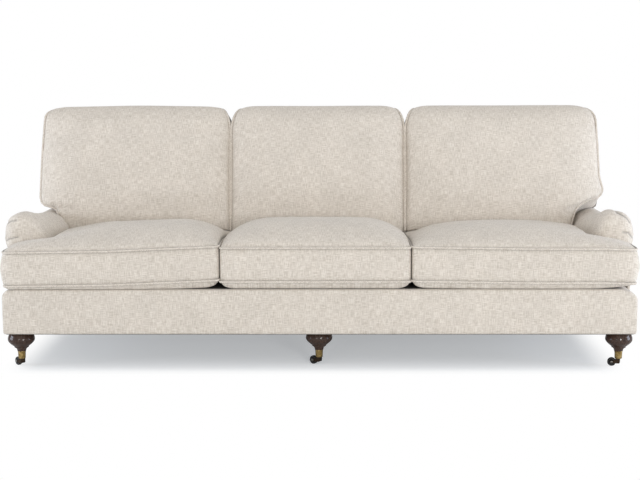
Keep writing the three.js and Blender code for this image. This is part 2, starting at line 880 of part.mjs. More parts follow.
// A cushion starts as a block of cells; each corner of the cells gets its own place
function formed(columns, rows, layers, place) {
  const form = mergeVertices(bareBox(columns.length - 1, rows.length - 1, layers.length - 1));
  const corners = form.attributes.position;
  for (let i = 0; i < corners.count; i += 1) {
    const column = Math.round((corners.getX(i) + 0.5) * (columns.length - 1));
    const row = Math.round((corners.getY(i) + 0.5) * (rows.length - 1));
    const layer = Math.round((corners.getZ(i) + 0.5) * (layers.length - 1));
    const spot = place(columns[column], rows[row], layers[layer]);
    corners.setXYZ(i, spot.x, spot.y, spot.z);
  }
  return form;
}
function bareBox(across, along, up) {
  const box = new THREE.BoxGeometry(1, 1, 1, across, along, up);
  box.deleteAttribute('normal');
  box.deleteAttribute('uv');
  return box;
}
function swell(distance, reach) {
  const share = Math.min(1, Math.max(0, distance / reach));
  return Math.sqrt(1 - (1 - share) ** 2);
}
function roundCorner(distance, radius) {
  const short = Math.max(0, radius - distance);
  return radius - Math.sqrt(radius ** 2 - short ** 2);
}

// Boxed seat cushions: crowned above and below, drawn in at the sides, the outer two T shaped
const seatGapLeft = -378;
const seatGapRight = 353;
const seatGap = 1;
const wingInset = 13;
const wingGap = 3;
const seatBodySetback = 1;
const seatArmGap = 4;
const seatBackGap = 6;
const wingOuter = railHalfWidth - wingInset;
const seatCushionFront = fromFront(-cushionProud);
const wingRear = fromFront(armSetback - wingGap);
const bodyFront = fromFront(armSetback + seatBodySetback);
const seatBodyOuter = armInnerFace - seatArmGap;
const seatCushionRear = fromFront(seatDepth - seatBackGap);
const seatCornerRadius = 24;
const seatDrawnIn = 7;
const seatBoxingBulge = 4;
const seatSideReach = 150;
const seatFrontReach = 260;
const seatNotchReach = 165;
const seatBottomReach = 30;
const seatShelf = 170;
const shelfDepth = 200;
const shelfStart = fromFront(seatDepth - shelfDepth);
const seatColumnShares = [0, 0.03, 0.09, 0.2, 0.36, 0.5, 0.64, 0.8, 0.91, 0.97, 1];
const seatWingShares = [0, 0.1, 0.34, 0.64, 1];
const seatBodyShares = [0.09, 0.22, 0.38, 0.54, 0.7, 0.8, 1];
const seatRows = [
  ...seatWingShares.map((share) => seatCushionFront + (wingRear - seatCushionFront) * share),
  bodyFront,
  ...seatBodyShares.map((share) => bodyFront + (seatCushionRear - bodyFront) * share),
];
const seatCrownAlong = [
  { share: 0, height: 1 },
  { share: 0.46, height: 1 },
  { share: 0.62, height: 0.78 },
  { share: 0.76, height: 0.3 },
  { share: 0.85, height: 0.12 },
  { share: 1, height: 0.1 },
];
function blendAlong(table, share) {
  let before = table[0];
  for (const after of table) {
    if (share <= after.share) {
      const span = after.share - before.share || 1;
      return before.height + ((after.height - before.height) * (share - before.share)) / span;
    }
    before = after;
  }
  return before.height;
}
// Distance from a place on the cushion to its stepped outer edge
function edgeDistance(fromOuter, y, step) {
  if (step === 0) return fromOuter;
  if (y > wingRear) return Math.max(0, fromOuter - step);
  const past = Math.max(0, fromOuter - step);
  return Math.min(fromOuter, Math.hypot(past, wingRear - y));
}
function seatCushion(inner, wing, outer, side) {
  const step = wing - outer;
  const layers = [0, 0.5, 1];
  const place = (share, y, layer) => {
    const reachesWing = y <= wingRear;
    const edge = reachesWing ? wing : outer;
    const depthShare = (y - seatRows[0]) / (seatCushionRear - seatRows[0]);
    const drawn = seatDrawnIn * Math.sin(Math.PI * depthShare);
    const rounded = roundCorner(y - seatRows[0], seatCornerRadius);
    const bulge = layer === 0.5 ? seatBoxingBulge : 0;
    const innerEdge = inner + drawn / 2 + rounded - Math.min(bulge, drawn / 2);
    const outerEdge = edge - (reachesWing ? 0 : drawn / 2) - rounded;
    const x = innerEdge + (outerEdge - innerEdge) * share;
    const middle = 1 - Math.abs(2 * share - 1) ** 3;
    const atFront = y === seatRows[0] ? 1 : 0;
    const forward = atFront * (seatDrawnIn * middle - bulge * middle);
    const fromInner = x - innerEdge;
    const fromOuter = step === 0 ? outerEdge - x : wing - x;
    const sideSwell = swell(Math.max(0, fromInner), seatSideReach)
      * (step === 0
        ? swell(fromOuter, seatSideReach)
        : swell(edgeDistance(fromOuter, y, step + drawn / 2), y > wingRear ? seatSideReach : seatNotchReach));
    const frontSwell = swell(y - seatRows[0], seatFrontReach);
    const floor = deckHeight(y) + clearance;
    const sunk = railTop - deckHeight(y);
    if (layer === 1) {
      const share2 = blendAlong(seatCrownAlong, depthShare);
      const crowned = seatWeltHigh - sunk + seatCrown * sideSwell * frontSwell * share2;
      const shelf = deckHeight(y) + seatShelf;
      const top = y >= shelfStart ? Math.min(crowned, shelf) : crowned;
      return new THREE.Vector3(side * x, y + forward, top);
    }
    if (layer === 0) {
      const hang = (seatWeltLow - railTop) * swell(
        Math.min(fromInner, fromOuter, y - seatRows[0]),
        seatBottomReach,
      );
      const low = Math.max(floor, seatWeltLow - sunk - hang);
      return new THREE.Vector3(side * x, y + forward, low);
    }
    const mid = (seatWeltLow + seatWeltHigh) / 2 - sunk;
    return new THREE.Vector3(side * x, y + forward, mid);
  };
  const shares = side < 0 ? [...seatColumnShares].reverse() : seatColumnShares;
  return formed(shares, seatRows, layers, place);
}
addPiece('seat_cushion_left', seatCushion(-seatGapLeft + seatGap, wingOuter, seatBodyOuter, -1), linen);
addPiece(
  'seat_cushion_middle',
  seatCushion(seatGapLeft + seatGap, seatGapRight - seatGap, seatGapRight - seatGap, 1),
  linen,
);
addPiece('seat_cushion_right', seatCushion(seatGapRight + seatGap, wingOuter, seatBodyOuter, 1), linen);

// Loose back cushions: raked, crowned in front, wrapped over the top, notched round the arms
const backGapLeft = -388;
const backGapRight = 360;
const backGap = 1;
const backFoot = 140;
const backHeadDrop = 42;
const backHead = (backCushionTop - padUnderside) / Math.cos(backRake) - backHeadDrop;
const gussetRear = 14;
const gussetFront = 185;
const backCushionInsetLeft = 9;
const backCushionInsetRight = 30;
const backCornerRadius = 44;
const backCrown = 52;
const backTopCrown = 14;
const backTopRound = 64;
const backSideReach = 150;
const backDrawnIn = 8;
const backColumnShares = [0, 0.03, 0.09, 0.2, 0.36, 0.5, 0.64, 0.8, 0.91, 0.97, 1];
const backLayerShares = [0, 0.33, 0.67, 1];
const backOuterLeft = railHalfWidth - backCushionInsetLeft;
const backOuterRight = railHalfWidth - backCushionInsetRight;
const overArm = (armTopRear - padUnderside) / Math.cos(backRake);
const besideArmRows = [
  { share: 0, out: 0 },
  { share: 0.18, out: 0.07 },
  { share: 0.36, out: 0.13 },
  { share: 0.54, out: 0.2 },
  { share: 0.72, out: 0.3 },
  { share: 0.86, out: 0.42 },
  { share: 0.97, out: 0.57 },
].map(({ share, out }) => ({ rise: backFoot + (overArm - backFoot) * share, out }));
const overArmRows = [
  { share: 0.02, out: 0.85 },
  { share: 0.06, out: 0.95 },
  { share: 0.12, out: 1 },
  { share: 0.25, out: 1 },
  { share: 0.42, out: 0.98 },
  { share: 0.6, out: 0.96 },
  { share: 0.75, out: 0.93 },
  { share: 0.86, out: 0.91 },
  { share: 0.93, out: 0.9 },
  { share: 0.98, out: 0.89 },
  { share: 1, out: 0.88 },
].map(({ share, out }) => ({ rise: overArm + (backHead - overArm) * share, out }));
const backRows = [...besideArmRows, ...overArmRows];
const backCrownAlong = [
  { share: 0, height: 0.4 },
  { share: 0.13, height: 0.8 },
  { share: 0.3, height: 1 },
  { share: 0.7, height: 0.95 },
  { share: 0.9, height: 0.62 },
  { share: 1, height: 0.3 },
];
function backCushion(inner, wing, notched, side) {
  const place = (share, row, layer) => {
    const up = (row.rise - backFoot) / (backHead - backFoot);
    const outer = notched ? seatBodyOuter + (wing - seatBodyOuter) * row.out : wing;
    const fromTop = backHead - row.rise;
    const rounded = roundCorner(fromTop, backCornerRadius);
    const drawn = backDrawnIn * Math.sin(Math.PI * up);
    const innerEdge = inner + drawn / 2 + rounded;
    const outerEdge = outer - (notched ? 0 : drawn / 2) - rounded;
    const x = innerEdge + (outerEdge - innerEdge) * share;
    const sideSwell = swell(x - innerEdge, backSideReach) * swell(outerEdge - x, backSideReach);
    const shrink = roundCorner(fromTop, backTopRound);
    const front = gussetFront - shrink + backCrown * sideSwell * blendAlong(backCrownAlong, up);
    const back = gussetRear + shrink - (gussetRear - clearance * 2) * sideSwell;
    const thick = back + (front - back) * layer;
    const atTop = row === backRows[backRows.length - 1];
    const raised = row.rise + (atTop ? backTopCrown * sideSwell : 0);
    const y = fromFront(seatDepth) + raised * Math.sin(backRake) - thick * Math.cos(backRake);
    const z = padUnderside + raised * Math.cos(backRake) + thick * Math.sin(backRake);
    const shelf = deckHeight(y) + seatShelf + clearance;
    return new THREE.Vector3(side * x, y, Math.max(z, shelf));
  };
  // Columns run across, rows from front to back, layers up
  const shares = side < 0 ? [...backColumnShares].reverse() : backColumnShares;
  const frontwards = [...backLayerShares].reverse();
  return formed(shares, frontwards, backRows, (share, layer, row) => place(share, row, layer));
}
addPiece('back_cushion_left', backCushion(-backGapLeft + backGap, backOuterLeft, true, -1), linen);
addPiece(
  'back_cushion_middle',
  backCushion(backGapLeft + backGap, backGapRight - backGap, false, 1),
  linen,
);
addPiece('back_cushion_right', backCushion(backGapRight + backGap, backOuterRight, true, 1), linen);

export default sofa;
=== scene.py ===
import math

import bmesh
import bpy
import numpy as np
from mathutils import Matrix, Vector
from mathutils.bvhtree import BVHTree
from mathutils.kdtree import KDTree


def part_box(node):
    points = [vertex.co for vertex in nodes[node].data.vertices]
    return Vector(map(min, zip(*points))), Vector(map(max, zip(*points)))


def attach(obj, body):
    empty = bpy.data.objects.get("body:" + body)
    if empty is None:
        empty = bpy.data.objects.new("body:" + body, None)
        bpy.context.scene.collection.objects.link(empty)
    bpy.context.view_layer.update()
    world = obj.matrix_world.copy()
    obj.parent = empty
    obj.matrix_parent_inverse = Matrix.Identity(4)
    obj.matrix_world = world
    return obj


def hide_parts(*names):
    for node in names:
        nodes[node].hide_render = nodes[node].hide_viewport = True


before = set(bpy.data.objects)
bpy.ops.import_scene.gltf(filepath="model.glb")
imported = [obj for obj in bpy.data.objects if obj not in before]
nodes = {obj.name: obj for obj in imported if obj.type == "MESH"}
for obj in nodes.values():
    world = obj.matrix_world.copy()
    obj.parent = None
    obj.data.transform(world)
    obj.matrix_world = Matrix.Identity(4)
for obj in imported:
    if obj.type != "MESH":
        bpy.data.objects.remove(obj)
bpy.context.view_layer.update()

# English roll arm sofa: three seats, loose boxed cushions, bun legs on brass casters.
# Sizes are in millimetres and become metres as each mesh is made; the front faces -Y.
# A value with two places says where a smooth change starts and where it ends.
MM = 0.001
scene = bpy.context.scene

# The studio: a pale floor, two soft boxes in front and one at each side, and even light all
# round. The floor is white to the camera past the shadow, and mirrors see a dim room.
def srgb(code):
    """An sRGB hex colour as linear RGBA."""
    parts = [int(code[i : i + 2], 16) / 255 for i in (1, 3, 5)]
    linear = [c / 12.92 if c <= 0.04045 else ((c + 0.055) / 1.055) ** 2.4 for c in parts]
    return (*linear, 1.0)


def add_node(tree, kind, settings=None, **inputs):
    """Adds a shader node of a kind; an input is a value or another node's output."""
    made = tree.nodes.new("ShaderNode" + kind)
    for key, value in (settings or {}).items():
        setattr(made, key, value)
    for key, value in inputs.items():
        at = int(key[1:]) if key[0] == "i" and key[1:].isdigit() else key.replace("_", " ")
        if isinstance(value, bpy.types.NodeSocket):
            tree.links.new(value, made.inputs[at])
        else:
            made.inputs[at].default_value = value
    return made


def computed(tree, operation, *values):
    """The result of a math node; a value is a number or another node's output."""
    inputs = {f"i{at}": value for at, value in enumerate(values)}
    return add_node(tree, "Math", {"operation": operation}, **inputs).outputs[0]


def ranged(tree, value, start, end, first, last):
    """Carries a value between start and end over to between first and last."""
    return add_node(tree, "MapRange", Value=value, i1=start, i2=end, i3=first,
                    i4=last).outputs[0]


def new_material(name):
    """An empty material and its node tree."""
    made = bpy.data.materials.new(name)
    made.use_nodes = True
    made.node_tree.nodes.clear()
    return made, made.node_tree


def linked(name, data):
    """A new object of some data, in the scene."""
    made = bpy.data.objects.new(name, data)
    scene.collection.objects.link(made)
    return made


floor_lift = 0.38
shadow_left = -1075
shadow_right = 1030
shadow_near = -465
shadow_side_fade = 165
shadow_near_fade = 140


def floor_paper():
    """White studio paper: matt, and white to the camera past the sofa's own shadow."""
    made, tree = new_material("white_studio_paper")
    seen = add_node(tree, "LightPath").outputs["Is Camera Ray"]
    paper = add_node(tree, "BsdfDiffuse", Color=srgb("#e6e6e5"))
    glow = add_node(tree, "Emission", Color=srgb("#f9fcff"),
                    Strength=computed(tree, "MULTIPLY", seen, floor_lift))
    shaded = add_node(tree, "AddShader", i0=paper.outputs[0], i1=glow.outputs[0])
    place = add_node(tree, "TexCoord")
    parts = add_node(tree, "SeparateXYZ", Vector=place.outputs["Object"])
    fades = [(0, shadow_left, -shadow_side_fade), (0, shadow_right, shadow_side_fade),
             (1, shadow_near, -shadow_near_fade), (1, -shadow_near, shadow_side_fade)]
    kept = 1.0
    for axis, edge, reach in fades:
        inside = add_node(tree, "MapRange", {"interpolation_type": "SMOOTHSTEP"},
                          Value=parts.outputs[axis], i1=edge * MM, i2=(edge + reach) * MM,
                          i3=1.0, i4=0.0)
        kept = computed(tree, "MULTIPLY", kept, inside.outputs[0])
    clear = computed(tree, "MULTIPLY", computed(tree, "SUBTRACT", 1.0, kept), seen)
    blank = add_node(tree, "Emission", Color=srgb("#ffffff"), Strength=1.0)
    both = add_node(tree, "MixShader", Fac=clear, i1=shaded.outputs[0],
                    i2=blank.outputs[0])
    add_node(tree, "OutputMaterial", Surface=both.outputs[0])
    return made


floor_size = 60000
bm = bmesh.new()
bmesh.ops.create_grid(bm, x_segments=2, y_segments=2, size=floor_size / 2 * MM)
floor_mesh = bpy.data.meshes.new("floor")
bm.to_mesh(floor_mesh)
bm.free()
floor_mesh.materials.append(floor_paper())
floor = linked("floor", floor_mesh)

horizon_light = 1.0
zenith_light = 0.62
mirror_front = 0.55
mirror_side = 0.12
mirror_edges = (-0.95, -0.5)
world = bpy.data.worlds.new("studio")
scene.world = world
world.use_nodes = True
tree = world.node_tree
tree.nodes.clear()
path = add_node(tree, "LightPath")
sky = add_node(tree, "TexCoord")
way = add_node(tree, "SeparateXYZ", Vector=sky.outputs["Generated"])
level_light = ranged(tree, way.outputs[2], 0.0, 1.0, horizon_light, zenith_light)
mirror_light = ranged(tree, way.outputs[1], *mirror_edges, mirror_front, mirror_side)
even, mirrored, white = (
    add_node(tree, "Background", Color=srgb("#ffffff"), Strength=strength).outputs[0]
    for strength in (level_light, mirror_light, 1.0)
)
lit = add_node(tree, "MixShader", Fac=path.outputs["Is Glossy Ray"], i1=even,
               i2=mirrored)
mix = add_node(tree, "MixShader", Fac=path.outputs["Is Camera Ray"],
               i1=lit.outputs[0], i2=white)
add_node(tree, "OutputWorld", Surface=mix.outputs[0])


def soft_box(name, place, aim, width, height, power, tint="#ffffff"):
    """A soft box lamp at a place, turned to what it is aimed at; its power is in watts."""
    lamp = bpy.data.lights.new(name, "AREA")
    lamp.color = srgb(tint)[:3]
    lamp.shape = "RECTANGLE"
    lamp.size = width * MM
    lamp.size_y = height * MM
    lamp.energy = power
    held = linked(name, lamp)
    held.location = Vector(place) * MM
    held.rotation_euler = (Vector(aim) - Vector(place)).to_track_quat("-Z", "Y").to_euler()


soft_box("front_left", (-1690, -5430, 1300), (0, -430, 300), 900, 900, 15)
soft_box("front_right", (1690, -5430, 1300), (0, -430, 300), 900, 900, 63)
soft_box("side_left", (-4200, -950, 700), (-600, -100, 500), 1600, 1200, 47, "#e4eeff")
soft_box("side_right", (4200, -950, 700), (600, -100, 500), 1600, 1200, 57, "#e4eeff")

# The camera stands a little right of the middle, 1.2 m up, and looks 8.1 degrees down.
# Its place and turns are those that fit the corners and seams of the sofa in the photo.
camera_place = Vector((87.3, -5400, 1203.9))
camera_pitch = 0.142196
camera_yaw = 0.016528
camera_roll = -0.0036
lens_mm = 73.57
camera_data = bpy.data.cameras.new("camera")
camera_data.sensor_fit = "HORIZONTAL"
camera_data.sensor_width = 36
camera_data.lens = lens_mm
camera = linked("camera", camera_data)
camera.matrix_world = (
    Matrix.Translation(camera_place * MM)
    @ Matrix.Rotation(camera_yaw, 4, "Z")
    @ Matrix.Rotation(math.pi / 2 - camera_pitch, 4, "X")
    @ Matrix.Rotation(camera_roll, 4, "Z")
)
scene.camera = camera
scene.view_settings.view_transform = "Standard"


# The timber frame: kiln dried hardwood boards, sawn square, doweled and glued.
# Nothing of it shows on the finished sofa, so it is bare wood with a plain long grain.
def dress(names, material):
    """Gives CAD nodes that stay as they are a material."""
    for name in names:
        mesh = nodes[name].data
        mesh.materials.clear()
        mesh.materials.append(material)


def speckled(name, sizes_mm, tones, places, detail, relief_mm=0, strength=0, wear=None,
             roughness=0.5, distortion=0.0, **surface):
    """A material whose tone follows a noise of real sizes; relief and wear follow it too."""
    made, tree = new_material(name)
    place = add_node(tree, "TexCoord")
    drawn = add_node(tree, "Mapping", Vector=place.outputs["Object"],
                     Scale=[1 / (size * MM) for size in sizes_mm])
    noise = add_node(tree, "TexNoise", Vector=drawn.outputs[0], Scale=1.0,
                     Detail=detail, Roughness=roughness, Distortion=distortion)
    grain = noise.outputs["Fac"]
    colour = add_node(tree, "ValToRGB", Fac=grain)
    for element, at, tone in zip(colour.color_ramp.elements, places, tones):
        element.position = at
        element.color = srgb(tone)
    if relief_mm:
        relief = add_node(tree, "Bump", Height=grain, Distance=relief_mm * MM,
                          Strength=strength)
        surface["Normal"] = relief.outputs[0]
    if wear:
        surface["Roughness"] = ranged(tree, grain, 0.0, 1.0, *wear)
    made_of = add_node(tree, "BsdfPrincipled", Base_Color=colour.outputs[0], **surface)
    add_node(tree, "OutputMaterial", Surface=made_of.outputs[0])
    return made


grain_length = 160
grain_width = 5


def bare_hardwood(way, axis):
    """Sawn hardwood: a dry surface whose grain lines run with the board."""
    sizes = [grain_length if number == axis else grain_width for number in range(3)]
    return speckled(f"sawn_hardwood_grain_{way}", sizes, ("#b08c5c", "#d4b88a"), (0.3, 0.7),
                    detail=4.0, relief_mm=0.4, strength=0.5, roughness=0.6, Roughness=0.72)


grain_x = bare_hardwood("across", 0)
grain_y = bare_hardwood("deep", 1)
grain_z = bare_hardwood("upright", 2)
sides = ("left", "right")
thirds = ("left", "middle", "right")
dress(["rail_front", "rail_back", "back_top_rail"], grain_x)
dress([f"leg_block_{end}_{s}" for end in ("front", "rear") for s in thirds], grain_x)
dress([f"rail_{kind}_{s}" for kind in ("side", "stretcher", "cross") for s in sides], grain_y)
dress([f"arm_rail_{s}" for s in sides], grain_y)
dress([f"arm_post_{s}" for s in sides], grain_z)
dress([f"back_upright{kind}_{s}" for kind in ("", "_inner") for s in sides], grain_z)


# Jute webbing: 50 mm straps, interlaced and tacked over the seat and the back frame.
# A coarse plain weave, brown with paler yarns.
def plain_weave(name, pitch_mm, tones, relief_mm, strength, rough):
    """A plain woven cloth: two sets of raised yarns, half a pitch apart."""
    made, tree = new_material(name)
    place = add_node(tree, "TexCoord")
    turns = math.tau / (pitch_mm * MM)
    parts = add_node(tree, "SeparateXYZ", Vector=place.outputs["Object"])
    waves = [computed(tree, "SINE", computed(tree, "MULTIPLY", parts.outputs[axis], turns))
             for axis in (0, 1)]
    height = computed(tree, "MULTIPLY", computed(tree, "MULTIPLY_ADD", *waves, 1.0), 0.5)
    colour = add_node(tree, "ValToRGB", Fac=height)
    for element, tone in zip(colour.color_ramp.elements, tones):
        element.color = srgb(tone)
    relief = add_node(tree, "Bump", Height=height, Distance=relief_mm * MM,
                      Strength=strength)
    cloth = add_node(tree, "BsdfPrincipled", Base_Color=colour.outputs[0],
                     Roughness=rough, Normal=relief.outputs[0])
    add_node(tree, "OutputMaterial", Surface=cloth.outputs[0])
    return made


jute = plain_weave("woven_jute_webbing", 6, ("#7c6442", "#bda27a"), relief_mm=0.8,
                   strength=0.6, rough=0.9)
dress(["seat_webbing", "back_webbing"], jute)


# Bun legs of the front: turned hardwood, stained espresso under semi-gloss lacquer.
# Each screws into its corner block with a steel hanger bolt, and ends in a peg for the caster.
def placed(name, mesh, material, body="root"):
    """Makes a piece of a mesh in metres, which rides on a body."""
    mesh.materials.clear()
    mesh.materials.append(material)
    piece = linked(name, mesh)
    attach(piece, body)
    return piece


def add_piece(name, bm, material, body="root", node=None, smooth=True):
    """Turns a bmesh in millimetres into a piece; it may replace a CAD node."""
    bmesh.ops.transform(bm, matrix=Matrix.Scale(MM, 4), verts=bm.verts)
    for face in bm.faces:
        face.smooth = smooth
    mesh = bpy.data.meshes.new(name)
    bm.to_mesh(mesh)
    bm.free()
    piece = placed(name, mesh, material, body)
    if node:
        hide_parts(node)
    return piece


def turned(profile, centre, steps):
    """A bmesh of a profile of (radius, height) spun round an upright axis at centre."""
    bm = bmesh.new()
    row = [bm.verts.new((radius, 0, height)) for radius, height in profile]
    for a, b in zip(row, row[1:]):
        bm.edges.new((a, b))
    bmesh.ops.spin(bm, geom=bm.verts[:] + bm.edges[:], cent=(0, 0, 0), axis=(0, 0, 1),
                   angle=math.tau, steps=steps, use_merge=True)
    bmesh.ops.remove_doubles(bm, verts=bm.verts, dist=0.01)
    bmesh.ops.recalc_face_normals(bm, faces=bm.faces)
    bmesh.ops.translate(bm, verts=bm.verts, vec=centre)
    return bm


def modify(piece, kind, **settings):
    """Adds a modifier of a kind to a piece, with its settings."""
    made = piece.modifiers.new(kind.lower(), kind)
    for key, value in settings.items():
        setattr(made, key, value)


def rounded(piece, levels):
    """Smooths a piece with live subdivision, the same in the view and in the render."""
    modify(piece, "SUBSURF", levels=levels, render_levels=levels)


def softened(piece, width_mm):
    """Rounds the hard edges of a piece with a live bevel."""
    modify(piece, "BEVEL", width=width_mm * MM, segments=3, limit_method="ANGLE",
           angle_limit=math.radians(35))


def box_of(node):
    """The low and high corners of a CAD node's box, in millimetres."""
    low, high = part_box(node)
    return low / MM, high / MM


def middle(node):
    """The middle of a CAD node's box, in millimetres."""
    low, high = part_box(node)
    return (low + high) / 2 / MM


# Dark stained wood under a clear coat: soft reflections, with the grain just showing.
lacquer = speckled("espresso_lacquered_hardwood", (4, 4, 45), ("#2b1b15", "#4e392e"), (0.32, 0.7),
                   detail=5.0, relief_mm=0.15, strength=0.35, roughness=0.65, Roughness=0.5,
                   Coat_Weight=0.5, Coat_Roughness=0.08, Specular_IOR_Level=0.2)
leg_top = 135.8
bun_profile = [
    (0, 41.6), (11.4, 41.6), (11.9, 42.2), (13.0, 59.4), (13.1, 60.4), (16.0, 60.4),
    (16.7, 60.9), (17.0, 62.6), (17.6, 66), (19.6, 70), (22.6, 73), (25.2, 74.4), (26.6, 74.8),
    (27.4, 75.6), (27.6, 76.8), (27.4, 78.2), (28.6, 79.6), (33.5, 83.5), (40.8, 89.4),
    (47.4, 96), (51.0, 102), (52.0, 107), (51.4, 113), (49.6, 119.5), (46.8, 126.6),
    (44.4, 131.4), (43.4, 133.6), (42.6, 135.2), (41.4, leg_top), (0, leg_top),
]
bolt_low = leg_top + 0.2
bolt_top = leg_top + 50
bolt_profile = [(0, bolt_low), (5, bolt_low), (5, bolt_top - 3), (3.8, bolt_top), (0, bolt_top)]

# Zinc-bright steel, turned on a lathe: a satin shine that varies in fine marks.
steel = speckled("turned_steel", (1.5, 1.5, 1.5), ("#77736c", "#77736c"), (0.0, 1.0),
                 detail=2.0, wear=(0.28, 0.45), Metallic=1.0)
front_legs = {}
for s in thirds:
    spot = middle(f"caster_socket_{s}")
    front_legs[s] = Vector((spot.x, spot.y, 0))
    leg = add_piece(f"bun_leg_{s}", turned(bun_profile, front_legs[s], 64), lacquer,
                    node=f"leg_front_{s}")
    rounded(leg, 1)
    add_piece(f"hanger_bolt_front_{s}", turned(bolt_profile, front_legs[s], 24), steel,
              smooth=False)

# Brass cup casters: a spun cup on the leg's peg, a cast horn that swivels on its pin,
# a steel axle riveted through the horn, and a black wheel. The three stand at their own turns.
# Brass that has dulled with age: warm, satin, and browner in patches of about 9 mm.
brass = speckled("aged_brass", (9, 9, 9), ("#7d6438", "#cbb077"), (0.3, 0.65), detail=4.0,
                 wear=(0.45, 0.28), roughness=0.6, Metallic=1.0)
# Dark bronze plate on a cast horn: nearly black, with a low shine and fine pits.
bronze = speckled("dark_bronze_plate", (2, 2, 2), ("#2a221d", "#5a4b3c"), (0.35, 0.7),
                  detail=3.0, relief_mm=0.2, strength=0.4, Metallic=1.0, Roughness=0.42)
# Moulded black rubber: matt, a little greyer where it has rolled.
rubber = speckled("moulded_black_rubber", (6, 6, 6), ("#151413", "#2c2a28"), (0.4, 0.75),
                  detail=3.0, Roughness=0.5)
wheel_radius = 16.5
# The CAD wheel has 24 sides and stands on one of them, so its axis is a little lower.
wheel_sides = 24
wheel_axis = wheel_radius * math.cos(math.pi / wheel_sides)
trail = 25
cup_profile = [
    (4.3, 31), (13.3, 31), (13.8, 31.5), (14.3, 41), (14.8, 55.6), (15.0, 56.4), (15.6, 57),
    (15.9, 57.8), (15.9, 59.2), (15.5, 59.8), (14.9, 60), (13.5, 60), (13.3, 59.6), (12.2, 41.6),
    (12.0, 41.0), (4.5, 41.0), (4.3, 40.6), (4.3, 31),
]
wheel_profile = [
    (2.3, -5), (8, -5), (8.6, -6.6), (9.4, -7), (13.2, -7), (15.2, -6.3), (16.3, -4.6),
    (16.5, -2.4), (16.5, 2.4), (16.3, 4.6), (15.2, 6.3), (13.2, 7), (9.4, 7), (8.6, 6.6),
    (8, 5), (2.3, 5), (2.3, -5),
]
axle_profile = [
    (0, -12), (3, -11.8), (5.2, -11.2), (6, -10.4), (2, -10.3), (2, 10.3), (6, 10.4),
    (5.2, 11.2), (3, 11.8), (0, 12),
]
horn_outline = [
    (7, 30.7), (-7, 30.7), (-8.4, 27.4), (-14, 24), (-20, 21.9), (-25, 21.3), (-28.6, 19.9),
    (-30, 16.4), (-28.6, 12.9), (-25, 11.4), (-16, 11.4), (3, 11.6), (6.2, 13.6), (7, 17),
]
horn_half = 10
room_half = 7.4
room_radius = 17.7
pin_profile = [(0, 30.2), (4, 30.2), (4, 38.6), (3.4, 39), (0, 39)]


def to_wheel(bm):
    """Lays a turned bmesh on its side, with its axis through the wheel's centre."""
    bmesh.ops.rotate(bm, verts=bm.verts, cent=(0, 0, 0), matrix=Matrix.Rotation(math.pi / 2, 3, "X"))
    bmesh.ops.translate(bm, verts=bm.verts, vec=(-trail, 0, wheel_axis))
    return bm


def stand_at(bm, s):
    """Turns a caster piece to its swivel and sets it under its leg."""
    wheel = middle(f"caster_wheel_{s}") - front_legs[s]
    turn = math.atan2(-wheel.y, -wheel.x)
    bmesh.ops.rotate(bm, verts=bm.verts, cent=(0, 0, 0), matrix=Matrix.Rotation(turn, 3, "Z"))
    bmesh.ops.translate(bm, verts=bm.verts, vec=front_legs[s])
    return bm


def prism(outline, low, high, axis):
    """A bmesh of a closed outline drawn out between two places on the Y or Z axis."""
    bm = bmesh.new()
    places = [(a, low, b) if axis == "Y" else (a, b, low) for a, b in outline]
    face = bm.faces.new([bm.verts.new(place) for place in places])
    grown = bmesh.ops.extrude_face_region(bm, geom=[face])["geom"]
    away = Vector([high - low if letter == axis else 0 for letter in "XYZ"])
    bmesh.ops.translate(bm, verts=[v for v in grown if isinstance(v, bmesh.types.BMVert)], vec=away)
    bmesh.ops.recalc_face_normals(bm, faces=bm.faces)
    return bm


def carve(piece, bm):
    """Cuts a bmesh in millimetres out of a piece for good."""
    bmesh.ops.transform(bm, matrix=Matrix.Scale(MM, 4), verts=bm.verts)
    mesh = bpy.data.meshes.new("cutter")
    bm.to_mesh(mesh)
    bm.free()
    tool = linked("cutter", mesh)
    modify(piece, "BOOLEAN", operation="DIFFERENCE", solver="EXACT", object=tool)
    bake(piece)
    bpy.data.objects.remove(tool)


def bake(piece):
    """Applies every modifier of a piece to its mesh."""
    graph = bpy.context.evaluated_depsgraph_get()
    graph.update()
    mesh = bpy.data.meshes.new_from_object(piece.evaluated_get(graph), depsgraph=graph)
    old = piece.data
    piece.modifiers.clear()
    piece.data = mesh
    bpy.data.meshes.remove(old)


for s in thirds:
    swivel = f"caster_swivel_{s}"
    add_piece(f"caster_cup_{s}", turned(cup_profile, front_legs[s], 64), brass,
              node=f"caster_socket_{s}")
    horn = stand_at(prism(horn_outline, -horn_half, horn_half, "Y"), s)
    horn = add_piece(f"caster_fork_{s}", horn, bronze, swivel,
                     f"caster_horn_{s}", smooth=False)
    room = [(0, -room_half), (room_radius, -room_half), (room_radius, room_half), (0, room_half)]
    carve(horn, stand_at(to_wheel(turned(room, (0, 0, 0), 48)), s))
    softened(horn, 0.9)
    pin = stand_at(turned(pin_profile, (0, 0, 0), 24), s)
    add_piece(f"caster_pin_{s}", pin, steel, swivel, smooth=False)
    rivet = stand_at(to_wheel(turned(axle_profile, (0, 0, 0), 24)), s)
    add_piece(f"caster_rivet_{s}", rivet, steel, swivel, f"caster_axle_{s}")
    tyre = stand_at(to_wheel(turned(wheel_profile, (0, 0, 0), 64)), s)
    add_piece(f"caster_tyre_{s}", tyre, rubber, f"caster_roller_{s}",
              f"caster_wheel_{s}")

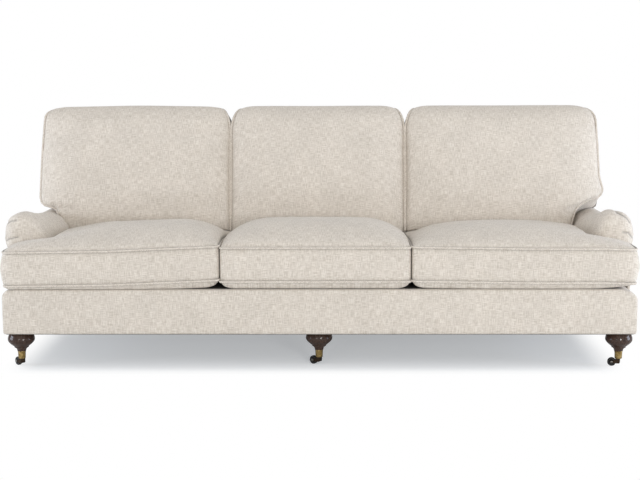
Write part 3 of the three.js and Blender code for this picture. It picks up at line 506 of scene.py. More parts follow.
# Rear legs: square tapered hardwood in the same finish, raked back.
# A steel hanger bolt runs from each one up into its corner block.
rear_top = 31
rear_foot = 18
rear_rake = 30
for s in thirds:
    low, high = box_of(f"leg_rear_{s}")
    spot = Vector(((low.x + high.x) / 2, low.y + rear_top, 0))
    bm = bmesh.new()
    bmesh.ops.create_cube(bm, size=1)
    for v in bm.verts:
        at_top = v.co.z > 0
        half = rear_top if at_top else rear_foot
        v.co = (spot.x + 2 * half * v.co.x, spot.y + 2 * half * v.co.y + (0 if at_top else rear_rake),
                leg_top if at_top else 0)
    leg = add_piece(f"tapered_leg_{s}", bm, lacquer, node=f"leg_rear_{s}",
                    smooth=False)
    softened(leg, 2.5)
    add_piece(f"hanger_bolt_rear_{s}", turned(bolt_profile, spot, 24), steel, smooth=False)

# Dust cover: black non-woven cambric, stretched and stapled under the rails.
# It is cut out round the six legs, and lies flat: matt, with a faint grain of short fibres.
cambric = speckled("black_cambric", (2.5, 2.5, 2.5), ("#1f1e1e", "#383636"), (0.35, 0.7),
                   detail=3.0, relief_mm=0.3, strength=0.5, distortion=1.5, Roughness=0.95)


def merged(node):
    """A bmesh of a CAD node, in millimetres, with its triangles joined at their corners."""
    bm = bmesh.new()
    bm.from_mesh(nodes[node].data)
    bmesh.ops.transform(bm, matrix=Matrix.Scale(1 / MM, 4), verts=bm.verts)
    bmesh.ops.remove_doubles(bm, verts=bm.verts, dist=0.01)
    return bm


bm = merged("dust_cover")
bmesh.ops.dissolve_limit(bm, angle_limit=math.radians(1), verts=bm.verts, edges=bm.edges)
low, high = box_of("dust_cover")
under = add_piece("cambric_dust_cover", bm, cambric, node="dust_cover",
                  smooth=False)


# The linen: one oatmeal tweed covers the whole sofa, with nubby slubs both ways.
# Warp runs up the faces and front to back on the tops; each piece is cut on that grain.
# Yarns are 1.5 mm apart; the slubs are drawn wider, so that they still show. Slubs, nubs,
# clouds and yarns are given by their width and length.
warp_slub = (2.2, 30)
weft_slub = (2.1, 27)
nub = (2.3, 2.8)
cloud = (110, 150)
warp_yarn = (1.5, 9)
weft_yarn = (1.5, 7)
yarn_tones = [(0.38, "#c6bdb1"), (0.5, "#d4cbc0"), (0.62, "#e0d9cf")]
# Painted shade: the near-black brown that seams, gaps, pleats, welt rims and the border under the
# cushions are darkened towards.
fold_shade_colour = "#150d0a"
cloud_light = (0.965, 1.03)
nap = 0.25
yarn_relief = 0.8
# How squarely a face turns to the side or back before its yarns follow other axes.
side_facing = 0.8
rear_facing = 0.3
# Each further tone: its colour, the range of its noise, and its shares at the range's ends.
tones_over = {
    "sunk": ("#b3a899", (0.34, 0.43), (0.25, 0.0)),
    "slub": ("#e8e2d8", (0.57, 0.66), (0.0, 0.35)),
    "fleck": ("#b9afa2", (0.58, 0.72), (0.0, 0.28)),
}


def blended(tree, share, first, second, colours=True):
    """Goes from a first value or colour to a second one as the share goes from 0 to 1."""
    kind, at, out = ("RGBA", 6, 2) if colours else ("FLOAT", 2, 0)
    ends = {f"i{at}": first, f"i{at + 1}": second}
    return add_node(tree, "Mix", {"data_type": kind}, i0=share, **ends).outputs[out]


def linen_tweed(name, bias=False):
    """Woven linen tweed: off-white slubs and greige flecks, matt, with a soft nap."""
    made, tree = new_material(name)
    place = add_node(tree, "TexCoord")
    x, y, z = add_node(tree, "SeparateXYZ", Vector=place.outputs["Object"]).outputs
    facing = add_node(tree, "SeparateXYZ", Vector=place.outputs["Normal"]).outputs
    on_side = computed(tree, "GREATER_THAN", computed(tree, "ABSOLUTE", facing[0]), side_facing)
    turn = computed(tree, "MULTIPLY_ADD", computed(tree, "GREATER_THAN", facing[1], rear_facing),
                    -2.0, 1.0)
    across = blended(tree, on_side, x, y, colours=False)
    along = blended(tree, on_side, computed(tree, "MULTIPLY_ADD", y, turn, z), z, colours=False)
    cloth = add_node(tree, "CombineXYZ", i0=across, i1=along).outputs[0]
    if bias:
        cloth = add_node(tree, "Mapping", Vector=cloth,
                         Rotation=(0, 0, math.radians(45))).outputs[0]

    def slubs(width_mm, length_mm, upright):
        """Uneven yarns: a noise drawn out along the yarn."""
        scale = [1 / (width_mm * MM), 1 / (length_mm * MM), 1]
        if not upright:
            scale = [scale[1], scale[0], 1]
        drawn = add_node(tree, "Mapping", Vector=cloth, Scale=scale)
        return add_node(tree, "TexNoise", {"noise_dimensions": "2D"},
                        Vector=drawn.outputs[0], Scale=1.0, Detail=2.0,
                        Roughness=0.6).outputs["Fac"]

    warp = slubs(*warp_slub, True)
    weft = slubs(*weft_slub, False)
    mixed = computed(tree, "MULTIPLY", computed(tree, "ADD", warp, weft), 0.5)
    ground = add_node(tree, "ValToRGB", Fac=mixed)
    ramp = ground.color_ramp.elements
    ramp.new(yarn_tones[1][0])
    for element, (at, tone) in zip(ramp, yarn_tones):
        element.position = at
        element.color = srgb(tone)
    noises = {
        "sunk": computed(tree, "MINIMUM", warp, weft),
        "slub": computed(tree, "MAXIMUM", warp, weft),
        "fleck": slubs(*nub, True),
    }
    colour = ground.outputs[0]
    for kind, (tone, noise_range, shares) in tones_over.items():
        share = ranged(tree, noises[kind], *noise_range, *shares)
        colour = blended(tree, share, colour, srgb(tone))
    light = ranged(tree, slubs(*cloud, True), 0.3, 0.7, *cloud_light)
    toned = add_node(tree, "VectorMath", {"operation": "SCALE"}, i0=colour, Scale=light)
    # Painted shade: where fold_shade is marked, the colour darkens towards near-black and the nap
    # fades out.
    fold = add_node(tree, "Attribute", {"attribute_name": "fold_shade"}).outputs["Fac"]
    shaded = blended(tree, fold, toned.outputs[0], srgb(fold_shade_colour))
    sheen = ranged(tree, fold, 0.0, 1.0, nap, 0.0)
    weave = computed(tree, "ADD", slubs(*warp_yarn, True), slubs(*weft_yarn, False))
    relief = add_node(tree, "Bump", Height=computed(tree, "ADD", weave, mixed),
                      Distance=yarn_relief * MM, Strength=0.4)
    surface = add_node(tree, "BsdfPrincipled", Base_Color=shaded, Roughness=0.92,
                       Sheen_Weight=sheen, Sheen_Roughness=0.5, Normal=relief.outputs[0],
                       Specular_IOR_Level=0.25)
    add_node(tree, "OutputMaterial", Surface=surface.outputs[0])
    return made


linen = linen_tweed("oatmeal_linen_tweed")
welt_linen = linen_tweed("oatmeal_linen_tweed_cut_on_the_bias", bias=True)


def points_of(piece):
    """The corners of a piece as an array, in millimetres."""
    flat = np.empty(len(piece.data.vertices) * 3)
    piece.data.vertices.foreach_get("co", flat)
    return flat.reshape(-1, 3) / MM


def move_points(piece, points):
    """Puts the corners of a piece at places given in millimetres."""
    piece.data.vertices.foreach_set("co", (points * MM).ravel())
    piece.data.update()


def fold_shade(piece, shades):
    """Marks the painted shade of a piece where it lies in a seam or under another, from 0 in the open
    to 1.
    """
    kept = piece.data.attributes.new("fold_shade", "FLOAT", "POINT")
    kept.data.foreach_set("value", np.asarray(shades, float))


def search_tree(spots):
    """A tree that finds the nearest of some spots."""
    tree = KDTree(len(spots))
    for i, at in enumerate(spots):
        tree.insert(at, i)
    tree.balance()
    return tree


def seam_shade(points, seams, shade, near_mm, far_mm):
    """Shade that falls off on both sides of the seams, each a list of points."""
    tree = search_tree([at for seam in seams for at in seam])
    away = np.array([tree.find(at)[2] for at in points])
    return shade * (1 - step_up(away, near_mm, far_mm))


def remeshed(piece, voxel_mm):
    """Gives a piece an even skin of small faces."""
    modify(piece, "REMESH", mode="VOXEL", voxel_size=voxel_mm * MM, use_smooth_shade=True)
    bake(piece)


def line_gap(points, line):
    """Distance from each flat point to a line of straight stretches, and its height over it."""
    best = np.full(len(points), np.inf)
    over = np.zeros(len(points))
    for a, b in zip(np.array(line[:-1], float), np.array(line[1:], float)):
        way = b - a
        t = np.clip(((points - a) @ way) / max(way @ way, 1e-9), 0, 1)
        away = points - a - t[:, None] * way
        length = np.hypot(*away.T)
        over = np.where(length < best, away[:, 1], over)
        best = np.minimum(best, length)
    return best, over


def step_up(value, start, end):
    """0 before start, 1 after end, and a smooth rise between them."""
    share = np.clip((value - start) / (end - start), 0, 1)
    return share * share * (3 - 2 * share)


def swell(distance, reach):
    """The rise of a stuffed panel from 0 at its seam to 1 at its reach."""
    share = np.clip(distance / reach, 0, 1)
    return np.sqrt(1 - (1 - share) ** 2)


def round_off(distance, radius):
    """How far a round corner draws in at a distance from its end."""
    short = np.clip(radius - distance, 0, radius)
    return radius - np.sqrt(radius**2 - short**2)


# Seat deck: padding over the webbing and springs, covered in a decking cloth.
# It falls towards the back, and only shows as the floor of the gaps between cushions.
# Plain woven decking, matt, with a fine even weave; its dark brown is painted shade in those gaps.
deck_cloth_painted_shade = plain_weave("decking_cloth_dark_painted_shade", 3, ("#241a15", "#3a2c24"), relief_mm=0.3,
                         strength=0.5, rough=0.92)
deck_low, deck_high = box_of("deck_pad")
deck_fall = 18
bm = bmesh.new()
bmesh.ops.create_cube(bm, size=1)
for v in bm.verts:
    fall = deck_fall if v.co.z > 0 and v.co.y > 0 else 0
    v.co = [deck_low[i] if v.co[i] < 0 else deck_high[i] for i in range(3)]
    v.co.z -= fall
deck = add_piece("seat_deck", bm, deck_cloth_painted_shade, node="deck_pad", smooth=False)
softened(deck, 4)

# Front border: a padded rail cover pulled tight over the front and its rounded corners.
# It wraps over the top edge, returns beside the seat, and is stapled under the rail.
border_droop = {"left": 5, "right": 18}
droop_across = (1145, 1215)
droop_up = (180, 311)
cushion_edge = (-485, -470)
cushion_end = (1130, 1180)
border_top = (303, 308)
border_shade = 0.92


def padding(node, name, voxel_mm, times):
    """Linen over padding: the shape of a CAD node in an even skin, with its edges eased."""
    piece = add_piece(name, merged(node), linen, node=node)
    remeshed(piece, voxel_mm)
    modify(piece, "SMOOTH", factor=0.5, iterations=times)
    bake(piece)
    return piece


border = padding("front_border", "front_border_cover", voxel_mm=7, times=6)
places = points_of(border)
for s, sign in (("left", -1), ("right", 1)):
    at_end = step_up(places[:, 0] * sign, *droop_across)
    places[:, 2] -= border_droop[s] * at_end * step_up(places[:, 2], *droop_up)
move_points(border, places)
under_cushion = step_up(places[:, 1], *cushion_edge)
under_cushion *= 1 - step_up(np.abs(places[:, 0]), *cushion_end)
fold_shade(border, border_shade * under_cushion * step_up(places[:, 2], *border_top))

# Roll arms: webbed and padded over the timber arm, with a domed and pleated front.
# The cover is one piece over the roll, eased round the dome in short pleats.
arm_dip = {
    "left": [(-330, 0), (-120, 3), (20, 6), (180, 13)],
    "right": [(-330, 0), (-135, 6), (60, 13), (180, 13)],
}
arm_top = 540
arm_low = 380
arm_shoulder = {"left": 0, "right": 17}
shoulder_inner = (1065, 1105)
shoulder_outer = (1120, 1175)
shoulder_rear = (-230, -110)
dip_inner_share = 0.35
dip_across = (1100, 1140)
arm_broad = {"left": 6, "right": -3}
broad_across = (1142, 1230)
pleat_shade = 0.45
pleat_line = (0.5, 5)
pleat_depth = 5
pleat_width = 7
pleat_reach = (60, 120)
lip_share = 0.35
pleats = {
    "left": [[(-1226, 545), (-1209, 556), (-1184, 560)], [(-1232, 476), (-1217, 485), (-1178, 494)],
             [(-1130, 592), (-1118, 580)]],
    "right": [[(1160, 585), (1183, 574), (1200, 563), (1212, 545)],
              [(1180, 510), (1203, 507), (1226, 484)]],
}


def pleated(piece, folds):
    """Draws short folds into the front of an arm: a shaded groove with a lip above it."""
    points = points_of(piece)
    normals = np.empty(points.size)
    piece.data.vertices.foreach_get("normal", normals)
    normals = normals.reshape(-1, 3)
    ahead = 1 - step_up(points[:, 1] - points[:, 1].min(), *pleat_reach)
    flat = points[:, [0, 2]]
    shift = np.zeros(len(points))
    shade = np.zeros(len(points))
    for fold in folds:
        best, over = line_gap(flat, fold)
        share = np.clip(1 - best / pleat_width, 0, 1)
        lip = np.clip(1 - np.abs(best - 1.5 * pleat_width) / pleat_width, 0, 1)
        shift -= pleat_depth * share**1.5
        shift += lip_share * pleat_depth * lip * (over > 0)
        shade = np.maximum(shade, pleat_shade * (1 - step_up(best, *pleat_line)) * ahead)
    move_points(piece, points + normals * (shift * ahead)[:, None])
    fold_shade(piece, shade)


arms = {}
for s in sides:
    arm = padding(f"arm_pad_{s}", f"arm_{s}", voxel_mm=5, times=30)
    points = points_of(arm)
    outward = np.abs(points[:, 0])
    on_top = step_up(points[:, 2], arm_low, arm_top)
    shoulder = step_up(outward, *shoulder_inner) * (1 - step_up(outward, *shoulder_outer))
    shoulder *= 1 - step_up(points[:, 1], *shoulder_rear)
    points[:, 2] += arm_shoulder[s] * shoulder * on_top
    dip = np.interp(points[:, 1], *zip(*arm_dip[s]))
    dip *= dip_inner_share + (1 - dip_inner_share) * step_up(outward, *dip_across)
    points[:, 2] -= dip * on_top
    points[:, 0] += np.sign(points[:, 0]) * arm_broad[s] * step_up(outward, *broad_across)
    move_points(arm, points)
    pleated(arm, pleats[s])
    arms[s] = arm


# Outside arm panels: linen over board, from the roll down to the bottom of the rail.
# Each lies flat against the outside of its arm, with soft edges.
def panel(node, name, edge_mm):
    """A flat panel of linen over board, in the shape of a CAD node with soft edges."""
    piece = add_piece(name, merged(node), linen, node=node, smooth=False)
    softened(piece, edge_mm)


for s in sides:
    panel(f"arm_outside_panel_{s}", f"arm_outside_{s}", 3)

# Inside back: padding over the webbing, wrapped over the top rail as a soft roll.
# The back cushions lean on it.
inside = padding("back_pad", "inside_back", voxel_mm=8, times=4)

# Outside back: linen over board, drawn down from under the roll to the rail.
# It closes the whole rear side, with soft edges like the outside arm panels.
panel("back_outside_panel", "outside_back", 2.5)

# Seat cushions: boxed linen cases over foam and feather, welted round the top and the
# bottom edge, crowned above, and flat where they rest. The outer two are T shaped.
front_y = -500
seat_depth = 790
cushion_voxel = 10
welt_low = 343
welt_high = 473
seat_crown = {"left": 71, "middle": 75, "right": 66}
crown_depth_shares = [0, 0.46, 0.62, 0.76, 0.85, 1]
crown_shares = [1, 1, 0.78, 0.3, 0.12, 0.1]
seat_front = front_y - 8
wing_rear = front_y + 147
seat_rear = front_y + seat_depth - 6
wing_outer = 1206
wing_bulge = 13
wing_bulge_reach = 40
body_outer = 1058
body_corner = 24
wing_corner = 32
wing_rear_corner = 30
notch_slope = 1
notch_corner = 6
rear_corner = 20
welt_radius = 4.8
welt_shade = 0.62
welt_lit = (-0.1, 0.7)
welt_proud = 2.5
seat_front_reach = 260
seat_side_reach = {"left": 200, "middle": 200, "right": 400}
seat_arm_reach = 230
arm_shelf_reach = 34
arm_shelf_share = {"left": 0.62, "right": 0.74}
wing_end_reach = {"left": 200, "right": 300}
wing_share = {"left": 1.0, "right": 0.78}
wing_blend = 60
seat_gap = 1
hang_reach = 36
hang_side_reach = 58
seat_tuck = {"left": 60, "middle": 58, "right": 300}
back_rest_rise = 170
back_rest_depth = 590
rest_clear = 0.3
rest_share = 0.3
rest_inset = 20
sewn_band = (8, 22)
gap_shade = 0.75
gap_band = (0.5, 5)
gap_front = (20, 32)
gap_slump = 20
slump_reach = 130
slump_depths = (-380, 60)


def sunk(y):
    """How far the deck has fallen at a depth."""
    return deck_fall * np.clip((y - deck_low.y) / (deck_high.y - deck_low.y), 0, 1)


def rounded_outline(corners, steps=6):
    """A closed outline in which each corner (x, y, radius) is rounded."""
    out = []
    count = len(corners)
    for i, (x, y, radius) in enumerate(corners):
        here = Vector((x, y))
        before = (Vector(corners[i - 1][:2]) - here).normalized()
        after = (Vector(corners[(i + 1) % count][:2]) - here).normalized()
        half = before.angle(after) / 2
        reach = radius / math.tan(half)
        start, end = here + before * reach, here + after * reach
        for k in range(steps + 1):
            t = k / steps
            a = start.lerp(here, t)
            b = here.lerp(end, t)
            out.append(a.lerp(b, t))
    return out


cloth_settings = {
    "quality": 6, "mass": 0.3, "tension_stiffness": 25, "compression_stiffness": 12,
    "shear_stiffness": 6, "bending_stiffness": 4, "use_pressure": True,
    "vertex_group_mass": "sewn",
}
cloth_frames = 20


def inflated(piece, held, pressure, cap_mm):
    """Blows a closed case up as cloth; held is 1 where it is sewn down or rests."""
    before = points_of(piece)
    group = piece.vertex_groups.new(name="sewn")
    for weight in range(1, 11):
        chosen = np.nonzero(np.round(held * 10) == weight)[0]
        group.add(chosen.tolist(), weight / 10, "REPLACE")
    made = piece.modifiers.new("cloth", "CLOTH")
    for key, value in cloth_settings.items():
        setattr(made.settings, key, value)
    made.settings.uniform_pressure_force = pressure
    made.settings.effector_weights.gravity = 0
    made.collision_settings.use_collision = False
    made.point_cache.frame_start = 1
    made.point_cache.frame_end = cloth_frames
    for number in range(1, cloth_frames + 1):
        scene.frame_set(number)
    bake(piece)
    moved = points_of(piece) - before
    length = np.linalg.norm(moved, axis=1, keepdims=True)
    limited = cap_mm * np.tanh(length / cap_mm)
    move_points(piece, before + moved * limited / np.maximum(length, 1e-9))
    scene.frame_set(1)


def welt(name, path, outward):
    """A cord in a bias strip, sewn into a seam: a tube that is shaded down to its stitches."""
    line = bpy.data.curves.new(name, "CURVE")
    line.dimensions = "3D"
    line.bevel_depth = welt_radius * MM
    line.bevel_resolution = 3
    spline = line.splines.new("POLY")
    spline.points.add(len(path) - 1)
    for point, at in zip(spline.points, path):
        point.co = (*(Vector(at) * MM), 1)
    spline.use_cyclic_u = True
    held = linked(name + "_line", line)
    graph = bpy.context.evaluated_depsgraph_get()
    mesh = bpy.data.meshes.new_from_object(held.evaluated_get(graph), depsgraph=graph)
    bpy.data.objects.remove(held)
    mesh.name = name
    tree = search_tree(path)
    shades = []
    for v in mesh.vertices:
        spot, i, _ = tree.find(v.co / MM)
        facing = (v.co / MM - spot).dot(Vector(outward[i])) / welt_radius
        shades.append(welt_shade * (1 - float(step_up(facing, *welt_lit))))
    for face in mesh.polygons:
        face.use_smooth = True
    fold_shade(placed(name, mesh, welt_linen), shades)


def pressed_flat(piece, sign, inner, outer):
    """Flattens the sides of a cushion where its neighbour presses on it."""
    points = points_of(piece)
    points[:, 0] = np.clip(points[:, 0] * sign, inner, outer) * sign
    move_points(piece, points)


def resampled(outline, step_mm):
    """A closed flat outline with points at an even step."""
    out = []
    for a, b in zip(outline, outline[1:] + outline[:1]):
        a, b = Vector(a), Vector(b)
        parts = max(1, round((b - a).length / step_mm))
        out += [a.lerp(b, k / parts) for k in range(parts)]
    return out


def proud_of(path, by):
    """A flat seam line moved out by a little at the front, and the way out at each point."""
    line = np.array(path)
    way = np.roll(line, -1, axis=0) - np.roll(line, 1, axis=0)
    area = np.sum(line[:, 0] * way[:, 1] - line[:, 1] * way[:, 0])
    out = np.stack([way[:, 1], -way[:, 0]], axis=1) * np.sign(area)
    out /= np.maximum(np.linalg.norm(out, axis=1, keepdims=True), 1e-9)
    line[:, :2] += by * out * (out[:, 1:] < -0.5)
    return line.tolist(), [(float(a), float(b), 0.0) for a, b in out]


# How far each seat cushion has dropped along its length, from the inner end to the outer.
seat_drop = {
    "left": [(0, -6), (0.34, 6), (0.5, 12), (0.85, 16), (1, 18)],
    "middle": [(0, 0), (1, 0)],
    "right": [(0, -2), (0.3, 2), (0.55, 5), (0.86, 5), (1, 9)],
}
# Each cushion is laid out away from its inner end; the left one grows towards -X.
way_out = {"left": -1, "middle": 1, "right": 1}
left_gap = -378
right_gap = 353
seat_inner = {"left": -left_gap + seat_gap, "middle": left_gap + seat_gap,
              "right": right_gap + seat_gap}
seat_outer = {"left": wing_outer, "middle": right_gap - seat_gap, "right": wing_outer}


def dropped(x, s):
    """How far a seat cushion has dropped at a place along it."""
    shares, drops = zip(*seat_drop[s])
    return np.interp((x - seat_inner[s]) / (seat_outer[s] - seat_inner[s]), shares, drops)


def slumped(from_gap, y):
    """How far a top seam slumps beside a gap between two cushions, towards the back."""
    return gap_slump * (1 - step_up(from_gap, 0, slump_reach)) * step_up(y, *slump_depths)


def from_gaps(x, s):
    """How far a place along a seat cushion is from the nearest gap to a neighbour."""
    from_inner = x - seat_inner[s]
    return np.minimum(from_inner, seat_outer[s] - x) if s == "middle" else from_inner


def seat_outline(s):
    """The outline of a seat cushion from above; the outer two have a wing before the arm."""
    inner, outer = seat_inner[s], seat_outer[s]
    if s == "middle":
        corners = [(outer, seat_front, body_corner), (outer, seat_rear, rear_corner)]
    else:
        corners = [(outer, seat_front, wing_corner), (outer, wing_rear, wing_rear_corner),
                   (body_outer, wing_rear + notch_slope, notch_corner),
                   (body_outer, seat_rear, rear_corner)]
    corners = [(inner, seat_front, body_corner), *corners, (inner, seat_rear, rear_corner)]
    outline = [(way_out[s] * p.x, p.y) for p in rounded_outline(corners)]
    return outline[::-1] if way_out[s] < 0 else outline


def side_shape(x, y, s):
    """The share of its crown that a seat cushion has at a place along it."""
    outer = seat_outer[s]
    shape = swell(x - seat_inner[s], seat_side_reach[s])
    if s == "middle":
        return shape * swell(outer - x, seat_side_reach[s])
    before_arm = np.maximum(0, wing_rear - y)
    past = np.where(before_arm > 0, np.hypot(np.maximum(0, body_outer - x), before_arm),
                    body_outer - x)
    shelf = arm_shelf_share[s] * swell(past, arm_shelf_reach)
    shelf += (1 - arm_shelf_share[s]) * step_up(past, 0, seat_arm_reach)
    wing_end = swell(outer - x, wing_end_reach[s])
    wing_end /= swell(outer - body_outer, wing_end_reach[s])
    at_wing = step_up(x, body_outer - wing_blend, body_outer + wing_blend)
    return shape * shelf * np.minimum(1, wing_end) * (1 - (1 - wing_share[s]) * at_wing)


def stuffed_seat(points, outline, s):
    """The points of a plain case as those of a stuffed seat cushion, and where it is held."""
    x, y, z = points[:, 0] * way_out[s], points[:, 1], points[:, 2]
    gap, _ = line_gap(points[:, :2], outline + outline[:1])
    top = np.clip((z - welt_low) / (welt_high - welt_low), 0, 1)
    depth = y - seat_front
    crown = seat_crown[s] * side_shape(x, y, s) * swell(depth, seat_front_reach)
    crown *= np.interp(depth / (seat_rear - seat_front), crown_depth_shares, crown_shares)
    hang = (welt_low - deck_high.z) * swell(depth, hang_reach)
    hang *= swell(x - seat_inner[s], hang_side_reach) * swell(seat_outer[s] - x, seat_tuck[s])
    fall = sunk(y) + dropped(x, s)
    slump = top * slumped(from_gaps(x, s), y)
    z = z - fall - slump + top * crown - (1 - top) * hang
    under_back = (top > 0.5) & (y > front_y + back_rest_depth)
    z = np.where(under_back, np.minimum(z, deck_high.z + back_rest_rise - fall), z)
    z = np.where(top < 0.5, np.maximum(z, deck_high.z - sunk(y) + rest_clear), z)
    if s != "middle":
        at_end = step_up(x, wing_outer - wing_bulge_reach, wing_outer)
        x = x + wing_bulge * at_end * np.sin(math.pi * top)
    from_seam = np.minimum(np.hypot(gap, z - (welt_high - fall - slump)),
                           np.hypot(gap, z - (welt_low - fall)))
    resting = (top < rest_share) & (gap > rest_inset)
    held = np.maximum(1 - step_up(from_seam, *sewn_band), resting)
    return np.stack([way_out[s] * x, y, z], axis=1), held


def seat_seam(outline, level, s):
    """A seam once round a seat cushion, as far down as the case has dropped and slumped."""
    line = np.array([(p.x, p.y) for p in resampled(outline, step_mm=6)])
    along = line[:, 0] * way_out[s]
    height = level - sunk(line[:, 1]) - dropped(along, s)
    if level == welt_high:
        height = height - slumped(from_gaps(along, s), line[:, 1])
    return np.column_stack([line, height]).tolist()


seats = {}
for s in thirds:
    outline = seat_outline(s)
    bm = prism(outline, welt_low, welt_high, "Z")
    cushion = add_piece(f"seat_cushion_case_{s}", bm, linen, node=f"seat_cushion_{s}")
    remeshed(cushion, cushion_voxel)
    points, held = stuffed_seat(points_of(cushion), outline, s)
    move_points(cushion, points)
    inflated(cushion, held, pressure=3, cap_mm=6)
    pressed_flat(cushion, way_out[s], seat_inner[s], seat_outer[s] if s == "middle" else np.inf)
    seams = [seat_seam(outline, level, s) for level in (welt_high, welt_low)]
    after = points_of(cushion)
    in_gap = 1 - step_up(from_gaps(after[:, 0] * way_out[s], s), *gap_band)
    in_gap *= step_up(after[:, 1] - seat_front, *gap_front)
    shades = [gap_shade * in_gap,
              seam_shade(after, seams[:1], shade=0.1, near_mm=3, far_mm=9),
              seam_shade(after, seams[1:], shade=0.26, near_mm=3, far_mm=11)]
    fold_shade(cushion, np.max(shades, axis=0))
    seats[s] = cushion
    rounded(cushion, 1)
    for level, path in zip(("top", "bottom"), seams):
        welt(f"seat_welt_{level}_{s}", *proud_of(path, welt_proud))

# Back cushions: feather and fibre in a boxed case, raked against the inside back.
# The front panel wraps over the top; welts run round the side panels, notched at the arms.
pad_under = 288.7
rake = math.radians(11.5)
back_top = 971
head_gap = 33
back_foot = 122
back_head = (back_top - pad_under) / math.cos(rake) - head_gap
back_tall = back_head - back_foot
back_low = 440
back_sink = 60
arm_press = 28
arm_reach = 60
over_arm = (arm_top - arm_press - pad_under) / math.cos(rake)
gusset_rear = 14
gusset_front = 168
gusset_deep = gusset_front - gusset_rear
rear_clear = 0.6
rear_rest_share = 0.1
foot_rest_share = 0.04
back_crown = 68
back_reach = 190
crown_rise_shares = [0, 0.13, 0.3, 0.7, 0.9, 1]
crown_height_shares = [0.4, 0.8, 1, 0.95, 0.62, 0.3]
side_draw = 5
corner_width = 50
corner_heights = {"left": (115, 44), "middle": (115, 115), "right": (115, 66)}
top_rise = {"left": 19, "middle": 14, "right": 14}
top_from_share = 0.9
top_reach = 60
top_round = 64
seat_clear = 1.5
cross_steps = 12
notch_shares = [(0, 0), (0.18, 0.07), (0.36, 0.13), (0.54, 0.2), (0.72, 0.3), (0.86, 0.42),
                (0.97, 0.57)]
wing_shares = [(0.02, 0.87), (0.05, 0.97), (0.1, 1.01), (0.25, 1), (0.42, 0.98), (0.6, 0.96),
               (0.75, 0.93), (0.86, 0.91), (0.93, 0.9), (1, 0.88)]
outer_rises = [back_foot + (over_arm - back_foot) * share for share, _ in notch_shares]
outer_rises += [over_arm + (back_head - over_arm) * share for share, _ in wing_shares]
outer_shares = [out for _, out in notch_shares + wing_shares]
# The rises of the side seams' points lie closer together towards the rounded top.
rise_count = 60
rise_crowding = 1.3
rise_shares = np.linspace(1, 0, rise_count) ** rise_crowding
drawn_rises = back_head - back_tall * rise_shares
spread_shares = (0.15, 0.6)
ear_low = (-40, 0)
ear_high = (50, 150)
pull_across = (10, 110)
pull_low = (-130, -10)
pull_high = (10, 120)
pull_in_share = 0.15
back_inner = {"left": 389, "middle": -387, "right": 361}
back_outer = {"left": 1206, "middle": 359, "right": 1190}
# How far the notch spreads over the arm, and how far the ear above it stands out.
notch_spread = {"left": 42, "right": 2}
ear_out = {"left": 0, "right": 15}
# How far the front seam of the notch is drawn up.
seam_up = {"left": 3, "middle": 0, "right": 34}


def by_arm(rise, below, above):
    """1 in a band of heights about the arm's top, and 0 away from it."""
    return step_up(rise - over_arm, *below) * (1 - step_up(rise - over_arm, *above))


def outer_edge(rise, s):
    """Where the outer side panel stands at a height up the raked back."""
    outer = back_outer[s]
    if s == "middle":
        return np.full_like(np.asarray(rise, float), outer)
    share = np.interp(rise, outer_rises, outer_shares)
    edge = body_outer + (outer - body_outer) * share
    edge += notch_spread[s] * (1 - step_up(share, *spread_shares))
    return edge + ear_out[s] * by_arm(rise, ear_low, ear_high)


def seam_shift(across, rise, share, edge, s):
    """How far the front seam of the notch is drawn in and up from the rear one."""
    near = 1 - step_up(edge - across, *pull_across)
    pull = seam_up[s] * near * by_arm(rise, pull_low, pull_high) * share
    return pull_in_share * pull, pull


def kept_off(points, other, gap_mm, reach_mm):
    """Moves points in millimetres out of another piece, to a small gap from its skin."""
    tree = BVHTree.FromPolygons([v.co[:] for v in other.data.vertices],
                                [p.vertices[:] for p in other.data.polygons])
    out = []
    for point in points:
        at = Vector(point) * MM
        spot, normal, _, _ = tree.find_nearest(at, reach_mm * MM)
        if spot is not None and (at - spot).dot(normal) < gap_mm * MM:
            at = spot + normal * (gap_mm * MM)
        out.append(at / MM)
    return np.array(out)


def raked(points, s):
    """From across, up and out of the raked back to the sofa's own axes."""
    across, up, out = np.asarray(points, float).T
    y = front_y + seat_depth + up * math.sin(rake) - out * math.cos(rake)
    z = pad_under + up * math.cos(rake) + out * math.sin(rake)
    return np.stack([way_out[s] * across, y, np.maximum(z, back_low)], axis=1)


def settled(points, s, at_arm, gap_mm):
    """Moves points of a back cushion off the seat under it and off the arm beside it."""
    points = kept_off(points, seats[s], gap_mm, back_sink)
    return kept_off(points, arms[s], gap_mm, arm_reach) if at_arm else points


up_way = np.array((0, math.sin(rake), math.cos(rake)))
ahead_way = np.array((0, -math.cos(rake), math.sin(rake)))
# Once round a side panel: up the front seam, over the top, down the rear seam, and under.
# Each point has its rise, its share of the way to the front, and its way out.
loop = [(r, 1, ahead_way) for r in drawn_rises]
loop += [(back_head, 1 - k / cross_steps, up_way) for k in range(1, cross_steps)]
loop += [(r, 0, -ahead_way) for r in drawn_rises[::-1]]
loop += [(back_foot, k / cross_steps, -up_way) for k in range(1, cross_steps)]
ways = [way.tolist() for _, _, way in loop]


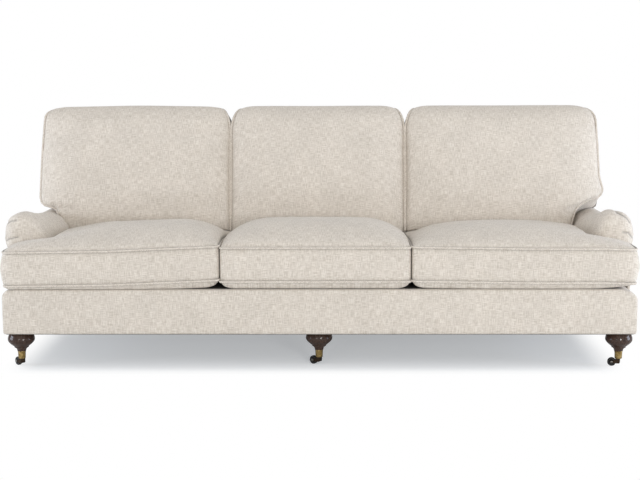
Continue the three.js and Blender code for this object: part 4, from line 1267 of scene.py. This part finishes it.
def stuffed_back(points, s):
    """The points of a plain case as those of a stuffed back cushion, and where it is held."""
    inner = back_inner[s]
    across, up, out = points.T
    share = np.clip((out - gusset_rear) / gusset_deep, 0, 1)
    height = (up - back_foot) / back_tall
    from_top = back_head - up
    edge = outer_edge(up, s)
    width = (across - inner) / (edge - inner)
    drawn = side_draw / 2 * np.sin(math.pi * np.clip(height, 0, 1))
    turned_in, turned_out = (corner_width / tall * round_off(from_top, tall)
                             for tall in corner_heights[s])
    new_inner = inner + drawn + turned_in
    new_edge = edge - (drawn if s == "middle" else 0) - turned_out
    across = new_inner + (new_edge - new_inner) * width
    side_swell, top_swell = (swell(across - new_inner, reach) * swell(new_edge - across, reach)
                             for reach in (back_reach, top_reach))
    shrink = round_off(from_top, top_round)
    ahead = back_crown * side_swell * np.interp(height, crown_rise_shares, crown_height_shares)
    ahead += gusset_front - shrink
    behind = gusset_rear + shrink - (gusset_rear - rear_clear) * side_swell
    out = behind + (ahead - behind) * share
    up = up + top_rise[s] * top_swell * step_up(height, top_from_share, 1)
    pull_in, pull_up = seam_shift(across, up, share, new_edge, s)
    across, up = across - pull_in, up + pull_up
    edge_dist = np.minimum(across - new_inner, new_edge - pull_in - across)
    from_seam = np.hypot(edge_dist, np.minimum(share, 1 - share) * gusset_deep)
    resting = (share < rear_rest_share) | (height < foot_rest_share)
    held = np.maximum(1 - step_up(from_seam, *sewn_band), resting)
    return raked(np.stack([across, up, out], axis=1), s), held


def back_seam(s, at_outer):
    """The line of a welt once round the inner or the outer side panel of a back cushion."""
    tall = corner_heights[s][at_outer]
    line = []
    for r, t, _ in loop:
        tucked = float(round_off(back_head - r, top_round))
        corner = corner_width / tall * float(round_off(back_head - r, tall))
        drawn = side_draw / 2 * math.sin(math.pi * (r - back_foot) / back_tall)
        edge = float(outer_edge(r, s)) - (drawn if s == "middle" else 0)
        place = edge - corner if at_outer else back_inner[s] + drawn + corner
        pull_in, pull_up = seam_shift(place, r, t, edge, s)
        ahead = gusset_front - tucked + welt_proud
        behind = gusset_rear + tucked
        line.append((place - pull_in, r + pull_up, behind + (ahead - behind) * t))
    return settled(raked(line, s), s, at_outer and s != "middle", welt_radius).tolist()


for s in thirds:
    outside_edge = [(float(outer_edge(r, s)), float(r)) for r in drawn_rises]
    outline = [(back_inner[s], back_foot), *outside_edge, (back_inner[s], back_head)]
    bm = prism(outline, gusset_rear, gusset_front, "Z")
    if way_out[s] < 0:
        bmesh.ops.reverse_faces(bm, faces=bm.faces)
    cushion = add_piece(f"back_cushion_case_{s}", bm, linen, node=f"back_cushion_{s}")
    remeshed(cushion, cushion_voxel)
    points, held = stuffed_back(points_of(cushion), s)
    move_points(cushion, points)
    inflated(cushion, held, pressure=3, cap_mm=7)
    move_points(cushion, settled(points_of(cushion), s, s != "middle", seat_clear))
    seams = [back_seam(s, at_outer) for at_outer in (False, True)]
    fold_shade(cushion, seam_shade(points_of(cushion), seams, shade=0.12, near_mm=3, far_mm=8))
    rounded(cushion, 1)
    for where, path in zip(("inner", "outer"), seams):
        welt(f"back_welt_{where}_{s}", path, ways)

# Brings every piece up to date in the scene.
bpy.context.view_layer.update()
